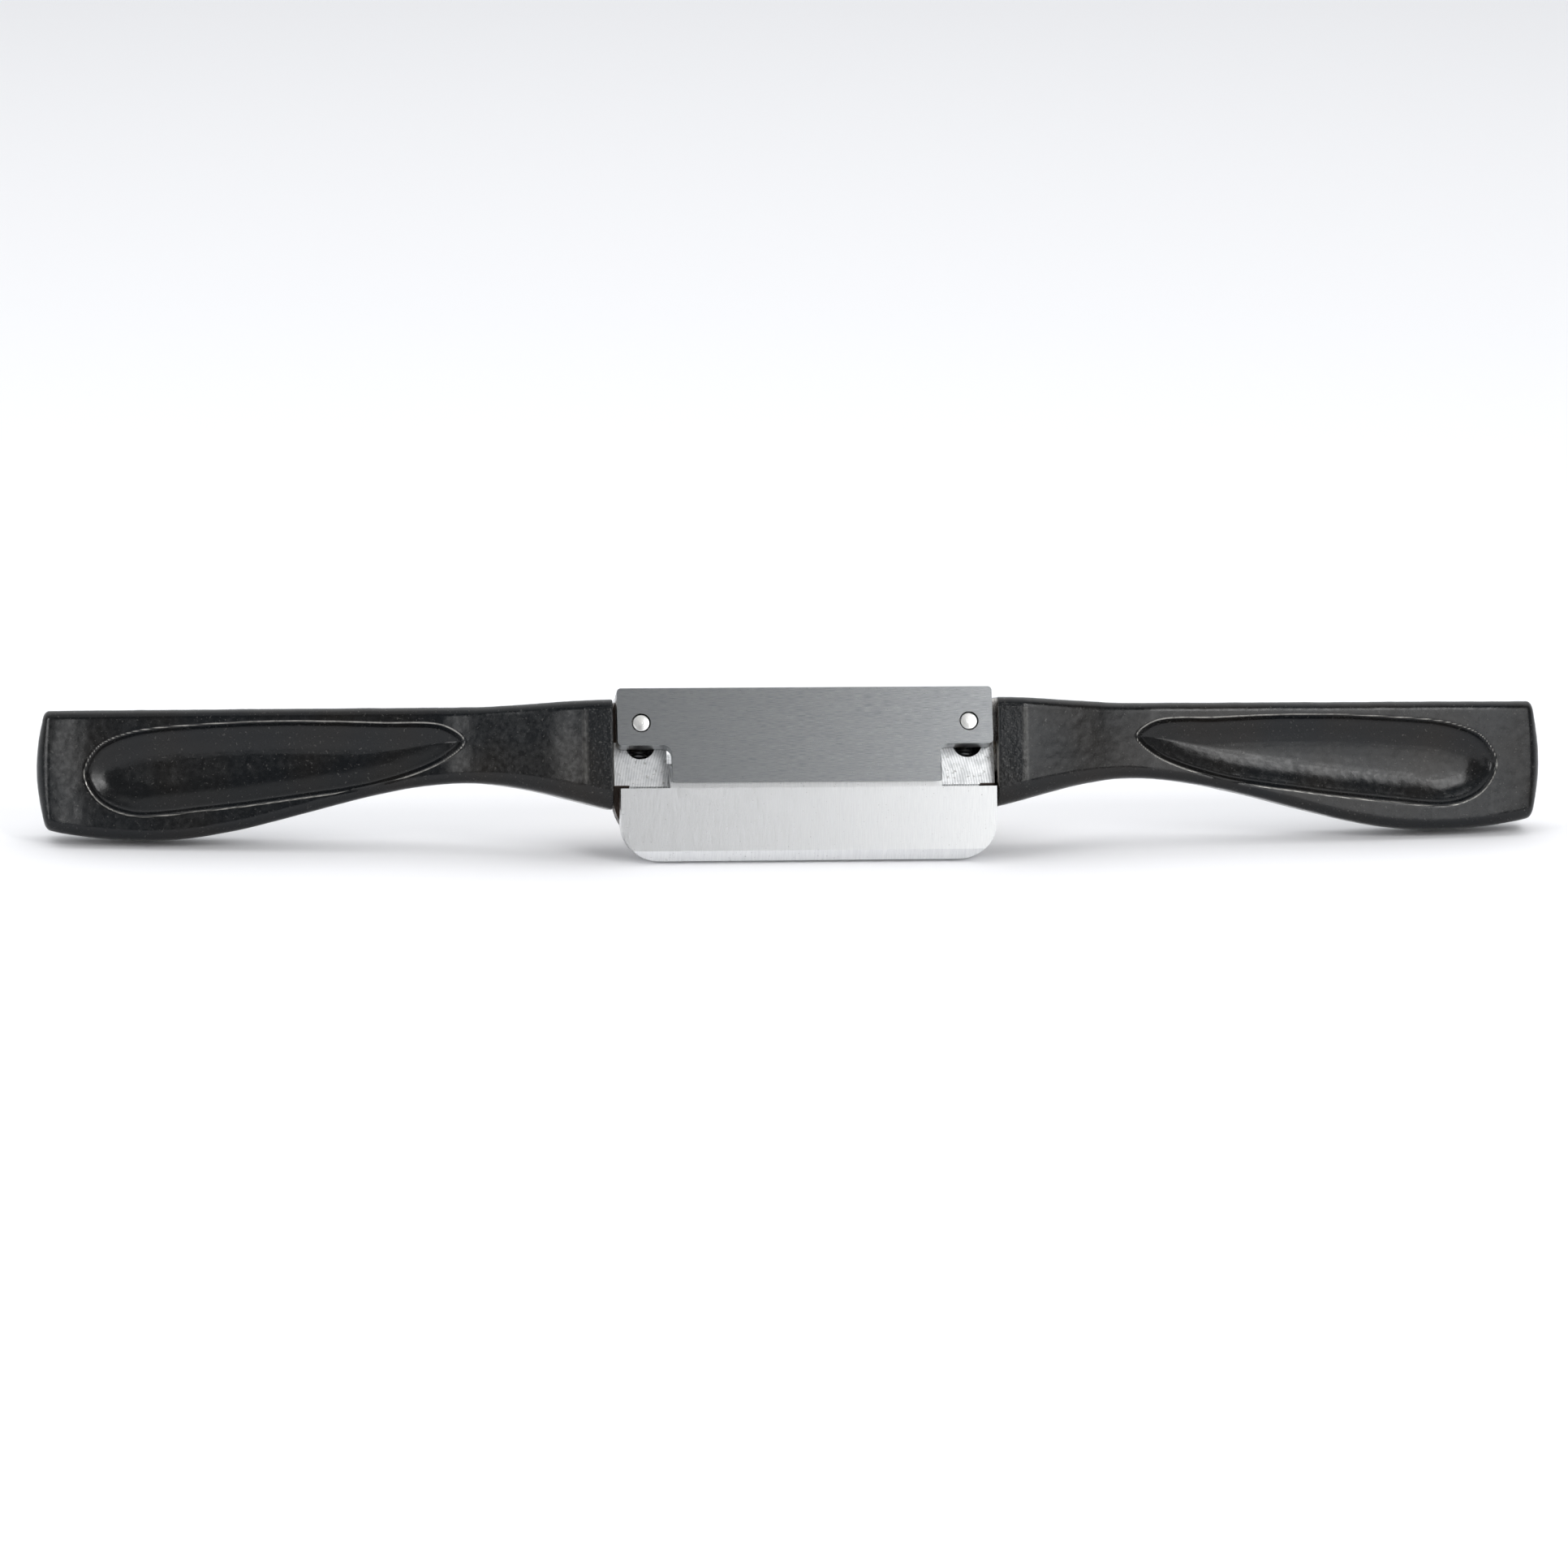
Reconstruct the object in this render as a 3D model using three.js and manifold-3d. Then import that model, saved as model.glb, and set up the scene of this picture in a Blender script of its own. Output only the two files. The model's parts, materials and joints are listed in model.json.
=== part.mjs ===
// A two-handled plane (spokeshave): a bare steel centre block with a T-shaped iron on its bed, a ground toe
// shoe in front of the mouth, and two enamelled cast handles. Millimetres, +Z up, sole towards -Y.
// The tool is drawn in its own frame (sole plane at y = 0, toe at z = 0) and then leaned back until the toe
// and the two grips stand on z = 0.
import * as THREE from 'three';
import { mergeVertices } from 'three/addons/utils/BufferGeometryUtils.js';
import Module from 'manifold-3d';

const wasm = await Module();
wasm.setup();

// ---- driving dimensions -------------------------------------------------------------------------------
const OVERALL_LENGTH = 250;
const GAP = 0.3; // between pieces that touch
const BLOCK_WIDTH = 62.6;
const CHEEK_WIDTH = 8.7; // the block on each side of its throat

const TOE_MARGIN = 1; // how much narrower than the block the shoe is
const TOE_SHIFT = 0.35; // the shoe is set over towards the right handle
const TOE_HEIGHT = 11.9;
const TOE_THICKNESS = 4.2;
const TOE_BEVEL_HEIGHT = 1.65;
const TOE_BEVEL_DEPTH = 1.3;
const TOE_BACK_CHAMFER = 1.2;
const TOE_CORNER_RADIUS = 6.2;
const LIP_RISE = 3.7; // the sloped front wall of the throat, above the toe
const LIP_SETBACK = 1.3;
const LIP_STEP = 1; // the upright front of the lip, seen in the mouth

const MOUTH = 0.9;
const BED_ANGLE = 12; // degrees between the iron and the sole
const IRON_THICKNESS = 3.2;
const IRON_MARGIN = 1; // how much narrower than the block the iron is
const THROAT_SPARE = 1.3; // how much wider than the cutting edge the throat is
const IRON_LENGTH = 15.8;
const EAR_LENGTH = 9.55;
const IRON_BEVEL = 27; // degrees
const IRON_NOTCH_RADIUS = 1.5;
const IRON_CORNER_RADIUS = 0.7;

const STUD_INSET = 4.4; // from the block's side
const STUD_BELOW_TOP = 5.8; // from the iron's top edge
const STUD_TIP = 2.7;
const STUD_SHANK = 4.2;
const TIP_CLEARANCE = 0.2;
const STUD_TIP_SETBACK = 0.02; // behind the iron's face
const SLOT_CLEARANCE = 0.7; // how much wider than the stud its slot is
const TRAVEL_DOWN = 0.6;
const TRAVEL_UP = 0.8;
const SLOT_SPARE = 2.25; // how far the slot runs on below the lowest stud position

const BLOCK_DEPTH = 7; // from the bed to the parallel back face
const BLOCK_BOTTOM = 2.6;
const BLOCK_TOP_DROP = 0.4; // below the iron's top edge
const BLOCK_SHOULDER_RADIUS = 5; // rounds the block's two upper corners, which start BLOCK_TRIM above its top
const BLOCK_TRIM = 1;
const BLOCK_CORNER_RADIUS = 7.6;
const BLOCK_BACK_CHAMFER = 2;
const NOSE_SPARE = 0.5; // bed nose behind the iron's bevel
const THROAT_FLARE_RUN = 3.4; // the throat's roof rises behind the bed nose
const THROAT_FLARE_RISE = 5.2;
const SILL_RUN = 7; // the throat's floor rises behind the toe
const SILL_RISE = 1.6;

const SET_SCREW = 3;
const SET_SCREW_LENGTH = 4;
const SET_SCREW_DEPTH = 3.6; // behind the bed
const HEX_SOCKET = 1.5;
const SPRING_WIRE = 0.45;
const SPRING_MARGIN = 1.2; // how much narrower than the stud the spring is
const SPRING_CLEARANCE = 0.15; // beside the spring, where it sits in the slot's round end
const SPRING_TURNS = 2.5;

const WASHER = 9;
const WASHER_THICKNESS = 1;
const SPRING_WASHER = 7.4;
const SPRING_WASHER_THICKNESS = 0.9;
const SPRING_WASHER_SPLIT = 0.7;
const NUT = 9;
const NUT_HEIGHT = 6;
const NUT_TEETH = 28;
const NUT_TOOTH_DEPTH = 0.35;
const NUT_COLLAR = 6.6;
const NUT_COLLAR_HEIGHT = 1.7;
const STUD_PROUD = 1;

const TOE_SCREW_INSET = 17.3; // from the block's side
const TOE_SCREW_HEIGHT = 7.4;
const TOE_SCREW = 3.4;
const TOE_SCREW_HEAD = 6;
const TOE_SCREW_HEAD_HEIGHT = 2.2;
const TOE_SCREW_BITE = 2.7;
const TOE_SCREW_GRIP = 2.8; // the wall that its head clamps
const TOE_DOWEL = 2.5;
const TOE_DOWEL_INSET = 7.3; // from the block's side
const DOWEL_BITE = 2.4;
const SCREW_SLOT_WIDTH = 0.8;
const SCREW_SLOT_SHARE = 0.45; // depth of a screw's slot, as a share of its head

const ROOT_TOP = 26.5;
const ROOT_BOTTOM = 8.4;
const ROOT_SETBACK = 1; // behind the sole
const ROOT_THICKNESS = 13.2;
const ROOT_STRIP = 4.5;
const NECK_X = 55;
const NECK_TOP = 25.5;
const NECK_BOTTOM = 12.95;
const ROOT_BELLY = 0.8; // how much the lower edge flattens towards the root
const GRIP_INSET = 19; // lowest point of the grip, from the handle's end
const GRIP_BOTTOM = 4;
const END_BOTTOM = 6.2;
const GRIP_THICKNESS = 10;
const SWEEP_END = 60; // where the swept neck becomes straight
const SWEEP_DEPTH = 8;
const SWEEP_SLOPE = 0.1;
const SWEEP_CREASE = 0.5; // 0 for a sweep that starts smoothly, 1 for the sharpest crease
const FRONT_EDGE_RADIUS = 1.6;
const GRIP_LOWER_RADIUS = 1.9; // the front's lower edge, at the grip
const ROOT_LOWER_RADIUS = 3.2; // and at the root
const BACK_EDGE_RADIUS = 4.2;
const ROOT_BACK_RADIUS = 1.4;
const END_RADIUS = 2;
const END_SAG = 1;
const END_SAG_RUN = 4;

const RECESS_INSET = 7.8; // wide end of the finger recess, from the handle's end
const RECESS_TIP_X = 55.5;
const RECESS_DEPTH = 1.7;
const RECESS_WALL = 1.8; // run of its sloped wall

const LUG_TOP = 14.6;
const LUG_BOTTOM = 9.4;
const LUG_THICKNESS = 3.3;
const LUG_LENGTH = 14.6; // from the root inwards
const LUG_REACH = 2; // how far it runs into the root
const LUG_SCREW = 3;
const LUG_SCREW_HEAD = 5;
const LUG_SCREW_HEAD_HEIGHT = 2;
const LUG_SCREW_BITE = 4.2;
const LUG_SCREW_INSETS = [11, 3.4]; // from the root

const ROUND = 24; // sides of a round hole or pin

// ---- worked-out places --------------------------------------------------------------------------------
const THROAT_WIDTH = BLOCK_WIDTH - 2 * CHEEK_WIDTH;
const TOE_WIDTH = BLOCK_WIDTH - TOE_MARGIN;
const IRON_WIDTH = BLOCK_WIDTH - IRON_MARGIN;
const IRON_EDGE_WIDTH = THROAT_WIDTH - THROAT_SPARE;
const EDGE_Z = TOE_HEIGHT + MOUTH; // height of the cutting edge
const TILT = THREE.MathUtils.degToRad(BED_ANGLE);
const BED = IRON_THICKNESS + GAP; // bed plane, in the iron's own frame
const BACK = BED + BLOCK_DEPTH;
const STUD_Z = IRON_LENGTH - STUD_BELOW_TOP;
const STUD_X = BLOCK_WIDTH / 2 - STUD_INSET;
const SLOT_WIDTH = STUD_SHANK + SLOT_CLEARANCE;
const SPRING_WIDTH = STUD_SHANK - SPRING_MARGIN;
const SLOT_LOW = STUD_Z - TRAVEL_DOWN - SLOT_SPARE;
const SLOT_HIGH = STUD_Z + TRAVEL_UP;
const NOSE_Z = IRON_THICKNESS / Math.tan(THREE.MathUtils.degToRad(IRON_BEVEL)) + NOSE_SPARE;
const BLOCK_TOP = EDGE_Z + IRON_LENGTH * Math.cos(TILT) - BLOCK_TOP_DROP;
const CARRIER_FRONT = TOE_THICKNESS + GAP;
const ROOT_X = BLOCK_WIDTH / 2 + GAP;
const END_X = OVERALL_LENGTH / 2;
const TOE_SCREW_X = BLOCK_WIDTH / 2 - TOE_SCREW_INSET;
const TOE_DOWEL_X = BLOCK_WIDTH / 2 - TOE_DOWEL_INSET;
const LUG_SCREW_XS = LUG_SCREW_INSETS.map((inset) => ROOT_X - inset);
const SIDES = [['left', -1], ['right', 1]];

// ---- finishes -----------------------------------------------------------------------------------------
const finish = (color, roughness, metalness) =>
  new THREE.MeshStandardMaterial({ color, roughness, metalness });
const enamel = finish(0x1b1b1c, 0.35, 0);
const machinedSteel = finish(0xc9cbcc, 0.38, 1);
const groundSteel = finish(0xdfe1e1, 0.3, 1);
const ironSteel = finish(0xa3a7a9, 0.34, 1);
const fastenerSteel = finish(0x74777a, 0.4, 1);
const brass = finish(0xc9a24a, 0.3, 1);

// ---- solids -------------------------------------------------------------------------------------------
function solid(geometry) {
  const bare = geometry.clone();
  bare.deleteAttribute('normal');
  bare.deleteAttribute('uv');
  const merged = mergeVertices(bare, 1e-4);
  return new wasm.Manifold(new wasm.Mesh({
    numProp: 3,
    vertProperties: new Float32Array(merged.attributes.position.array),
    triVerts: new Uint32Array(merged.index.array),
  }));
}

function geometryOf(body) {
  const mesh = body.getMesh();
  const geometry = new THREE.BufferGeometry();
  geometry.setAttribute('position', new THREE.BufferAttribute(new Float32Array(mesh.vertProperties), 3));
  geometry.setIndex(new THREE.BufferAttribute(new Uint32Array(mesh.triVerts), 1));
  geometry.computeVertexNormals();
  return geometry;
}

const cutAll = (body, cutters) => cutters.reduce((left, cutter) => left.subtract(cutter), body);
const joinAll = (body, others) => others.reduce((sum, other) => sum.add(other), body);

function named(name, body, material) {
  const mesh = new THREE.Mesh(geometryOf(body), material);
  mesh.name = name;
  return mesh;
}

// An outline of [y, z] points drawn out along x.
function prismX(points, x0, x1) {
  const shape = new THREE.Shape(points.map(([y, z]) => new THREE.Vector2(y, z)));
  const geometry = new THREE.ExtrudeGeometry(shape, { depth: x1 - x0, bevelEnabled: false });
  const turn = new THREE.Matrix4().makeBasis(
    new THREE.Vector3(0, 1, 0), new THREE.Vector3(0, 0, 1), new THREE.Vector3(1, 0, 0));
  geometry.applyMatrix4(turn.setPosition(x0, 0, 0));
  return solid(geometry);
}

// A shape in x and z drawn out from y0 to y1.
function plateY(shape, y0, y1, curveSegments = 6) {
  const geometry = new THREE.ExtrudeGeometry(shape, { depth: y1 - y0, bevelEnabled: false, curveSegments });
  const turn = new THREE.Matrix4().makeBasis(
    new THREE.Vector3(1, 0, 0), new THREE.Vector3(0, 0, 1), new THREE.Vector3(0, -1, 0));
  geometry.applyMatrix4(turn.setPosition(0, y1, 0));
  return solid(geometry);
}

function box(x0, x1, y0, y1, z0, z1) {
  const geometry = new THREE.BoxGeometry(x1 - x0, y1 - y0, z1 - z0);
  return solid(geometry.translate((x0 + x1) / 2, (y0 + y1) / 2, (z0 + z1) / 2));
}

function rodY(x, z, diameter, y0, y1, sides = ROUND) {
  const geometry = new THREE.CylinderGeometry(diameter / 2, diameter / 2, y1 - y0, sides);
  return solid(geometry.translate(x, (y0 + y1) / 2, z));
}

function rodZ(x, y, diameter, z0, z1, sides = ROUND) {
  const geometry = new THREE.CylinderGeometry(diameter / 2, diameter / 2, z1 - z0, sides);
  return solid(geometry.rotateX(Math.PI / 2).translate(x, y, (z0 + z1) / 2));
}

function roundedRect(x0, x1, z0, z1, lower, upper) {
  const shape = new THREE.Shape();
  shape.moveTo(x0 + lower, z0);
  shape.lineTo(x1 - lower, z0);
  shape.absarc(x1 - lower, z0 + lower, lower, -Math.PI / 2, 0);
  shape.lineTo(x1, z1 - upper);
  shape.absarc(x1 - upper, z1 - upper, upper, 0, Math.PI / 2);
  shape.lineTo(x0 + upper, z1);
  shape.absarc(x0 + upper, z1 - upper, upper, Math.PI / 2, Math.PI);
  shape.lineTo(x0, z0 + lower);
  shape.absarc(x0 + lower, z0 + lower, lower, Math.PI, 1.5 * Math.PI);
  return shape;
}

function signedVolume(points, faces) {
  return faces.reduce((sum, [a, b, c]) => sum + points[a].dot(points[b].clone().cross(points[c])) / 6, 0);
}

// Rings of points, one after another, closed at both ends, with the faces turned outwards.
function loft(rings) {
  const count = rings[0].length;
  const points = rings.flat();
  const faces = [];
  for (let i = 0; i + 1 < rings.length; i++) {
    for (let j = 0; j < count; j++) {
      const k = (j + 1) % count;
      const [a, b, c, d] = [i * count + j, i * count + k, (i + 1) * count + j, (i + 1) * count + k];
      faces.push([a, c, b], [b, c, d]);
    }
  }
  for (const [start, end] of [[0, 0], [(rings.length - 1) * count, 1]]) {
    const middle = points.slice(start, start + count).reduce((sum, p) => sum.add(p), new THREE.Vector3());
    points.push(middle.divideScalar(count));
    for (let j = 0; j < count; j++) {
      const face = [start + j, start + ((j + 1) % count), points.length - 1];
      faces.push(end ? face.reverse() : face);
    }
  }
  const geometry = new THREE.BufferGeometry().setFromPoints(points);
  const inward = signedVolume(points, faces) < 0;
  geometry.setIndex(faces.flatMap((face) => (inward ? face.toReversed() : face)));
  return solid(geometry);
}

// A point given in the iron's own frame (y behind its face, z up from its edge), as [y, z] of the tool.
function fromIron(y, z) {
  return [y * Math.cos(TILT) + z * Math.sin(TILT), EDGE_Z + z * Math.cos(TILT) - y * Math.sin(TILT)];
}

// Turns a solid made in the iron's frame into the tool's frame.
function placeOnBed(body) {
  const turn = new THREE.Matrix4().makeRotationX(-TILT).setPosition(0, 0, EDGE_Z);
  return solid(geometryOf(body).applyMatrix4(turn));
}

// ---- centre block -------------------------------------------------------------------------------------
function zOnPlane(y, toolZ) {
  return (toolZ - EDGE_Z + y * Math.sin(TILT)) / Math.cos(TILT);
}

function blockOutline() {
  const ledge = TOE_HEIGHT + GAP;
  return [
    [CARRIER_FRONT, BLOCK_BOTTOM],
    [fromIron(BACK, 0)[0] - BLOCK_BACK_CHAMFER, BLOCK_BOTTOM],
    [fromIron(BACK, 0)[0], BLOCK_BOTTOM + BLOCK_BACK_CHAMFER],
    fromIron(BACK, 0),
    fromIron(BACK, zOnPlane(BACK, BLOCK_TOP)),
    fromIron(BED, zOnPlane(BED, BLOCK_TOP)),
    fromIron(BED, zOnPlane(BED, ledge)),
    [CARRIER_FRONT, ledge],
  ];
}

function throatOutline() {
  const ahead = -5;
  const behind = 30;
  const sill = TOE_HEIGHT + LIP_RISE + GAP;
  const nose = fromIron(BED, NOSE_Z);
  const roof = nose[1] + THROAT_FLARE_RISE;
  return [
    [ahead, TOE_HEIGHT],
    [CARRIER_FRONT, TOE_HEIGHT],
    [CARRIER_FRONT, sill],
    [CARRIER_FRONT + SILL_RUN, sill + SILL_RISE],
    [behind, sill + SILL_RISE],
    [behind, roof],
    [nose[0] + THROAT_FLARE_RUN, roof],
    nose,
    [ahead, nose[1]],
  ];
}

function slotCutter(x) {
  const shape = roundedRect(x - SLOT_WIDTH / 2, x + SLOT_WIDTH / 2, SLOT_LOW - SLOT_WIDTH / 2,
    SLOT_HIGH + SLOT_WIDTH / 2, SLOT_WIDTH / 2, SLOT_WIDTH / 2);
  return placeOnBed(plateY(shape, BED - 2, BACK + 2));
}

function centreBlock() {
  const half = BLOCK_WIDTH / 2;
  const front = roundedRect(-half, half, BLOCK_BOTTOM, BLOCK_TOP + BLOCK_TRIM, BLOCK_CORNER_RADIUS,
    BLOCK_SHOULDER_RADIUS);
  let block = prismX(blockOutline(), -half, half).intersect(plateY(front, -5, 40));
  block = block.subtract(prismX(throatOutline(), -THROAT_WIDTH / 2, THROAT_WIDTH / 2));
  const cutters = [];
  for (const [, side] of SIDES) {
    const screwX = side * TOE_SCREW_X;
    cutters.push(
      slotCutter(side * STUD_X),
      placeOnBed(rodZ(side * STUD_X, BED + SET_SCREW_DEPTH, SET_SCREW + 2 * GAP, SLOT_HIGH, 30)),
      rodY(screwX, TOE_SCREW_HEIGHT, TOE_SCREW + 2 * GAP, 0, 30),
      rodY(screwX, TOE_SCREW_HEIGHT, TOE_SCREW_HEAD + 2 * GAP, toeScrewSeat(), 30),
      rodY(side * TOE_DOWEL_X, TOE_SCREW_HEIGHT, TOE_DOWEL + 2 * GAP, 0, CARRIER_FRONT + DOWEL_BITE + GAP),
      ...LUG_SCREW_XS.map((x) => rodY(side * x, lugScrewZ(), LUG_SCREW + 2 * GAP,
        lugFront() - GAP - LUG_SCREW_BITE - GAP, 30)),
    );
  }
  return named('centre_block', cutAll(block, cutters), machinedSteel);
}

// ---- toe shoe and what holds it -----------------------------------------------------------------------
const toeScrewSeat = () => CARRIER_FRONT + TOE_SCREW_GRIP;

function toeShoe() {
  const [left, right] = [TOE_SHIFT - TOE_WIDTH / 2, TOE_SHIFT + TOE_WIDTH / 2];
  const section = [
    [0, TOE_BEVEL_HEIGHT],
    [TOE_BEVEL_DEPTH, 0],
    [TOE_THICKNESS - TOE_BACK_CHAMFER, 0],
    [TOE_THICKNESS, TOE_BACK_CHAMFER],
    [TOE_THICKNESS, TOE_HEIGHT],
    [0, TOE_HEIGHT],
  ];
  const lipHalf = THROAT_WIDTH / 2 - GAP;
  const lip = [[LIP_SETBACK, TOE_HEIGHT - 1], [TOE_THICKNESS, TOE_HEIGHT - 1],
    [TOE_THICKNESS, TOE_HEIGHT + LIP_RISE], [LIP_SETBACK, TOE_HEIGHT + LIP_STEP]];
  const front = roundedRect(left, right, 0, TOE_HEIGHT + LIP_RISE + 1, TOE_CORNER_RADIUS, 0.2);
  const shoe = prismX(section, left, right).add(prismX(lip, -lipHalf, lipHalf))
    .intersect(plateY(front, -5, 20));
  const cutters = SIDES.flatMap(([, side]) => [
    rodY(side * TOE_SCREW_X, TOE_SCREW_HEIGHT, TOE_SCREW + 2 * GAP,
      TOE_THICKNESS - TOE_SCREW_BITE - GAP, 20),
    rodY(side * TOE_DOWEL_X, TOE_SCREW_HEIGHT, TOE_DOWEL + 2 * GAP,
      TOE_THICKNESS - DOWEL_BITE - GAP, 20),
  ]);
  return named('toe_shoe', cutAll(shoe, cutters), groundSteel);
}

function slottedScrew(name, x, z, tip, seat, shank, head, headHeight) {
  const body = joinAll(rodY(x, z, shank, tip, seat + 0.5), [rodY(x, z, head, seat, seat + headHeight)]);
  const slot = box(x - head, x + head, seat + headHeight * (1 - SCREW_SLOT_SHARE), seat + headHeight + 1,
    z - SCREW_SLOT_WIDTH / 2, z + SCREW_SLOT_WIDTH / 2);
  return named(name, body.subtract(slot), fastenerSteel);
}

function toeFasteners() {
  return SIDES.flatMap(([word, side]) => [
    slottedScrew(`${word}_toe_screw`, side * TOE_SCREW_X, TOE_SCREW_HEIGHT,
      TOE_THICKNESS - TOE_SCREW_BITE, toeScrewSeat() + GAP, TOE_SCREW, TOE_SCREW_HEAD,
      TOE_SCREW_HEAD_HEIGHT),
    named(`${word}_toe_dowel`, rodY(side * TOE_DOWEL_X, TOE_SCREW_HEIGHT, TOE_DOWEL,
      TOE_THICKNESS - DOWEL_BITE, CARRIER_FRONT + DOWEL_BITE), fastenerSteel),
  ]);
}

// ---- iron, studs and clamp stack, all in the iron's frame ---------------------------------------------
function ironShape() {
  const [wide, narrow] = [IRON_WIDTH / 2, IRON_EDGE_WIDTH / 2];
  const [top, ear] = [IRON_LENGTH, IRON_LENGTH - EAR_LENGTH];
  const [corner, notch] = [IRON_CORNER_RADIUS, IRON_NOTCH_RADIUS];
  const shape = new THREE.Shape();
  shape.moveTo(-narrow, 0);
  shape.lineTo(narrow, 0);
  shape.lineTo(narrow, ear - notch);
  shape.absarc(narrow + notch, ear - notch, notch, Math.PI, Math.PI / 2, true);
  shape.lineTo(wide - corner, ear);
  shape.absarc(wide - corner, ear + corner, corner, -Math.PI / 2, 0);
  shape.lineTo(wide, top - corner);
  shape.absarc(wide - corner, top - corner, corner, 0, Math.PI / 2);
  shape.lineTo(corner - wide, top);
  shape.absarc(corner - wide, top - corner, corner, Math.PI / 2, Math.PI);
  shape.lineTo(-wide, ear + corner);
  shape.absarc(corner - wide, ear + corner, corner, Math.PI, 1.5 * Math.PI);
  shape.lineTo(-narrow - notch, ear);
  shape.absarc(-narrow - notch, ear - notch, notch, Math.PI / 2, 0, true);
  return shape;
}

function iron() {
  const slope = 1 / Math.tan(THREE.MathUtils.degToRad(IRON_BEVEL));
  const land = 0.05; // left unbevelled at the cutting edge
  const beyond = IRON_THICKNESS + 1;
  const bevel = [[land, -0.1], [beyond, -0.1], [beyond, beyond * slope]];
  const hole = STUD_TIP + 2 * TIP_CLEARANCE;
  const holes = SIDES.map(([, side]) => rodY(side * STUD_X, STUD_Z, hole, -1, beyond));
  const body = plateY(ironShape(), 0, IRON_THICKNESS).subtract(prismX(bevel, -IRON_WIDTH, IRON_WIDTH));
  return named('iron', cutAll(body, holes), ironSteel);
}

const stackStart = () => BACK + GAP;
const springWasherStart = () => stackStart() + WASHER_THICKNESS + GAP;
const nutStart = () => springWasherStart() + SPRING_WASHER_THICKNESS + GAP;
const nutEnd = () => nutStart() + NUT_HEIGHT;

function bladeStud(word, x) {
  const tip = rodY(x, STUD_Z, STUD_TIP, STUD_TIP_SETBACK, BED + 1);
  const shank = rodY(x, STUD_Z, STUD_SHANK, IRON_THICKNESS + GAP, nutEnd() + STUD_PROUD);
  return named(`${word}_blade_stud`, tip.add(shank), fastenerSteel);
}

function ring(name, x, outside, start, thickness, material) {
  const hole = rodY(x, STUD_Z, STUD_SHANK + 2 * GAP, start - 1, start + thickness + 1);
  return named(name, rodY(x, STUD_Z, outside, start, start + thickness).subtract(hole), material);
}

// A split, slightly sprung ring.
function springWasher(word, x) {
  const start = springWasherStart();
  const body = rodY(x, STUD_Z, SPRING_WASHER, start, start + SPRING_WASHER_THICKNESS)
    .subtract(rodY(x, STUD_Z, STUD_SHANK + 2 * GAP, start - 1, start + 3))
    .subtract(box(x - SPRING_WASHER_SPLIT / 2, x + SPRING_WASHER_SPLIT / 2, start - 1, start + 3,
      STUD_Z, STUD_Z + SPRING_WASHER));
  return named(`${word}_spring_washer`, body, fastenerSteel);
}

function clampNut(word, x) {
  const shape = new THREE.Shape();
  for (let i = 0; i < 2 * NUT_TEETH; i++) {
    const radius = NUT / 2 - (i % 2 ? NUT_TOOTH_DEPTH : 0);
    const angle = (Math.PI * i) / NUT_TEETH;
    shape[i ? 'lineTo' : 'moveTo'](x + radius * Math.cos(angle), STUD_Z + radius * Math.sin(angle));
  }
  const collarEnd = nutStart() + NUT_COLLAR_HEIGHT;
  const body = plateY(shape, collarEnd - 0.2, nutEnd())
    .add(rodY(x, STUD_Z, NUT_COLLAR, nutStart(), collarEnd))
    .subtract(rodY(x, STUD_Z, STUD_SHANK + 2 * GAP, nutStart() - 1, nutEnd() + 1));
  return named(`${word}_clamp_nut`, body, brass);
}

function setScrew(word, x) {
  const y = BED + SET_SCREW_DEPTH;
  const foot = STUD_Z + STUD_SHANK / 2 + GAP;
  const body = rodZ(x, y, SET_SCREW, foot, foot + SET_SCREW_LENGTH);
  const socket = rodZ(x, y, HEX_SOCKET, foot + SET_SCREW_LENGTH * 0.6, foot + SET_SCREW_LENGTH + 1, 6);
  return named(`${word}_depth_screw`, body.subtract(socket), fastenerSteel);
}

class Coil extends THREE.Curve {
  constructor(radius, height, turns) {
    super();
    Object.assign(this, { radius, height, turns });
  }

  getPoint(t) {
    const angle = 2 * Math.PI * this.turns * t;
    return new THREE.Vector3(this.radius * Math.cos(angle), this.radius * Math.sin(angle), this.height * t);
  }
}

function liftSpring(word, x) {
  const seat = Math.sqrt((SLOT_WIDTH / 2) ** 2 - (SPRING_WIDTH / 2 + SPRING_CLEARANCE) ** 2);
  const floor = SLOT_LOW - seat + SPRING_WIRE / 2;
  const height = STUD_Z - STUD_SHANK / 2 - GAP - SPRING_WIRE - floor;
  const section = new THREE.Shape().absarc(0, 0, SPRING_WIRE / 2, 0, 2 * Math.PI);
  const path = new Coil((SPRING_WIDTH - SPRING_WIRE) / 2, height, SPRING_TURNS);
  const wire = new THREE.ExtrudeGeometry(section, {
    steps: SPRING_TURNS * 14, curveSegments: 3, bevelEnabled: false, extrudePath: path });
  return named(`${word}_lift_spring`, solid(wire.translate(x, BED + SET_SCREW_DEPTH, floor)), fastenerSteel);
}

function ironGroup() {
  const group = new THREE.Group();
  group.position.z = EDGE_Z;
  group.rotation.x = -TILT;
  group.add(iron());
  for (const [word, side] of SIDES) {
    const x = side * STUD_X;
    group.add(
      bladeStud(word, x),
      ring(`${word}_clamp_washer`, x, WASHER, stackStart(), WASHER_THICKNESS, fastenerSteel),
      springWasher(word, x),
      clampNut(word, x),
      setScrew(word, x),
      liftSpring(word, x),
    );
  }
  return group;
}

// ---- handles ------------------------------------------------------------------------------------------
const smooth = (t) => THREE.MathUtils.smoothstep(t, 0, 1);
const gripX = () => END_X - GRIP_INSET;

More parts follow.
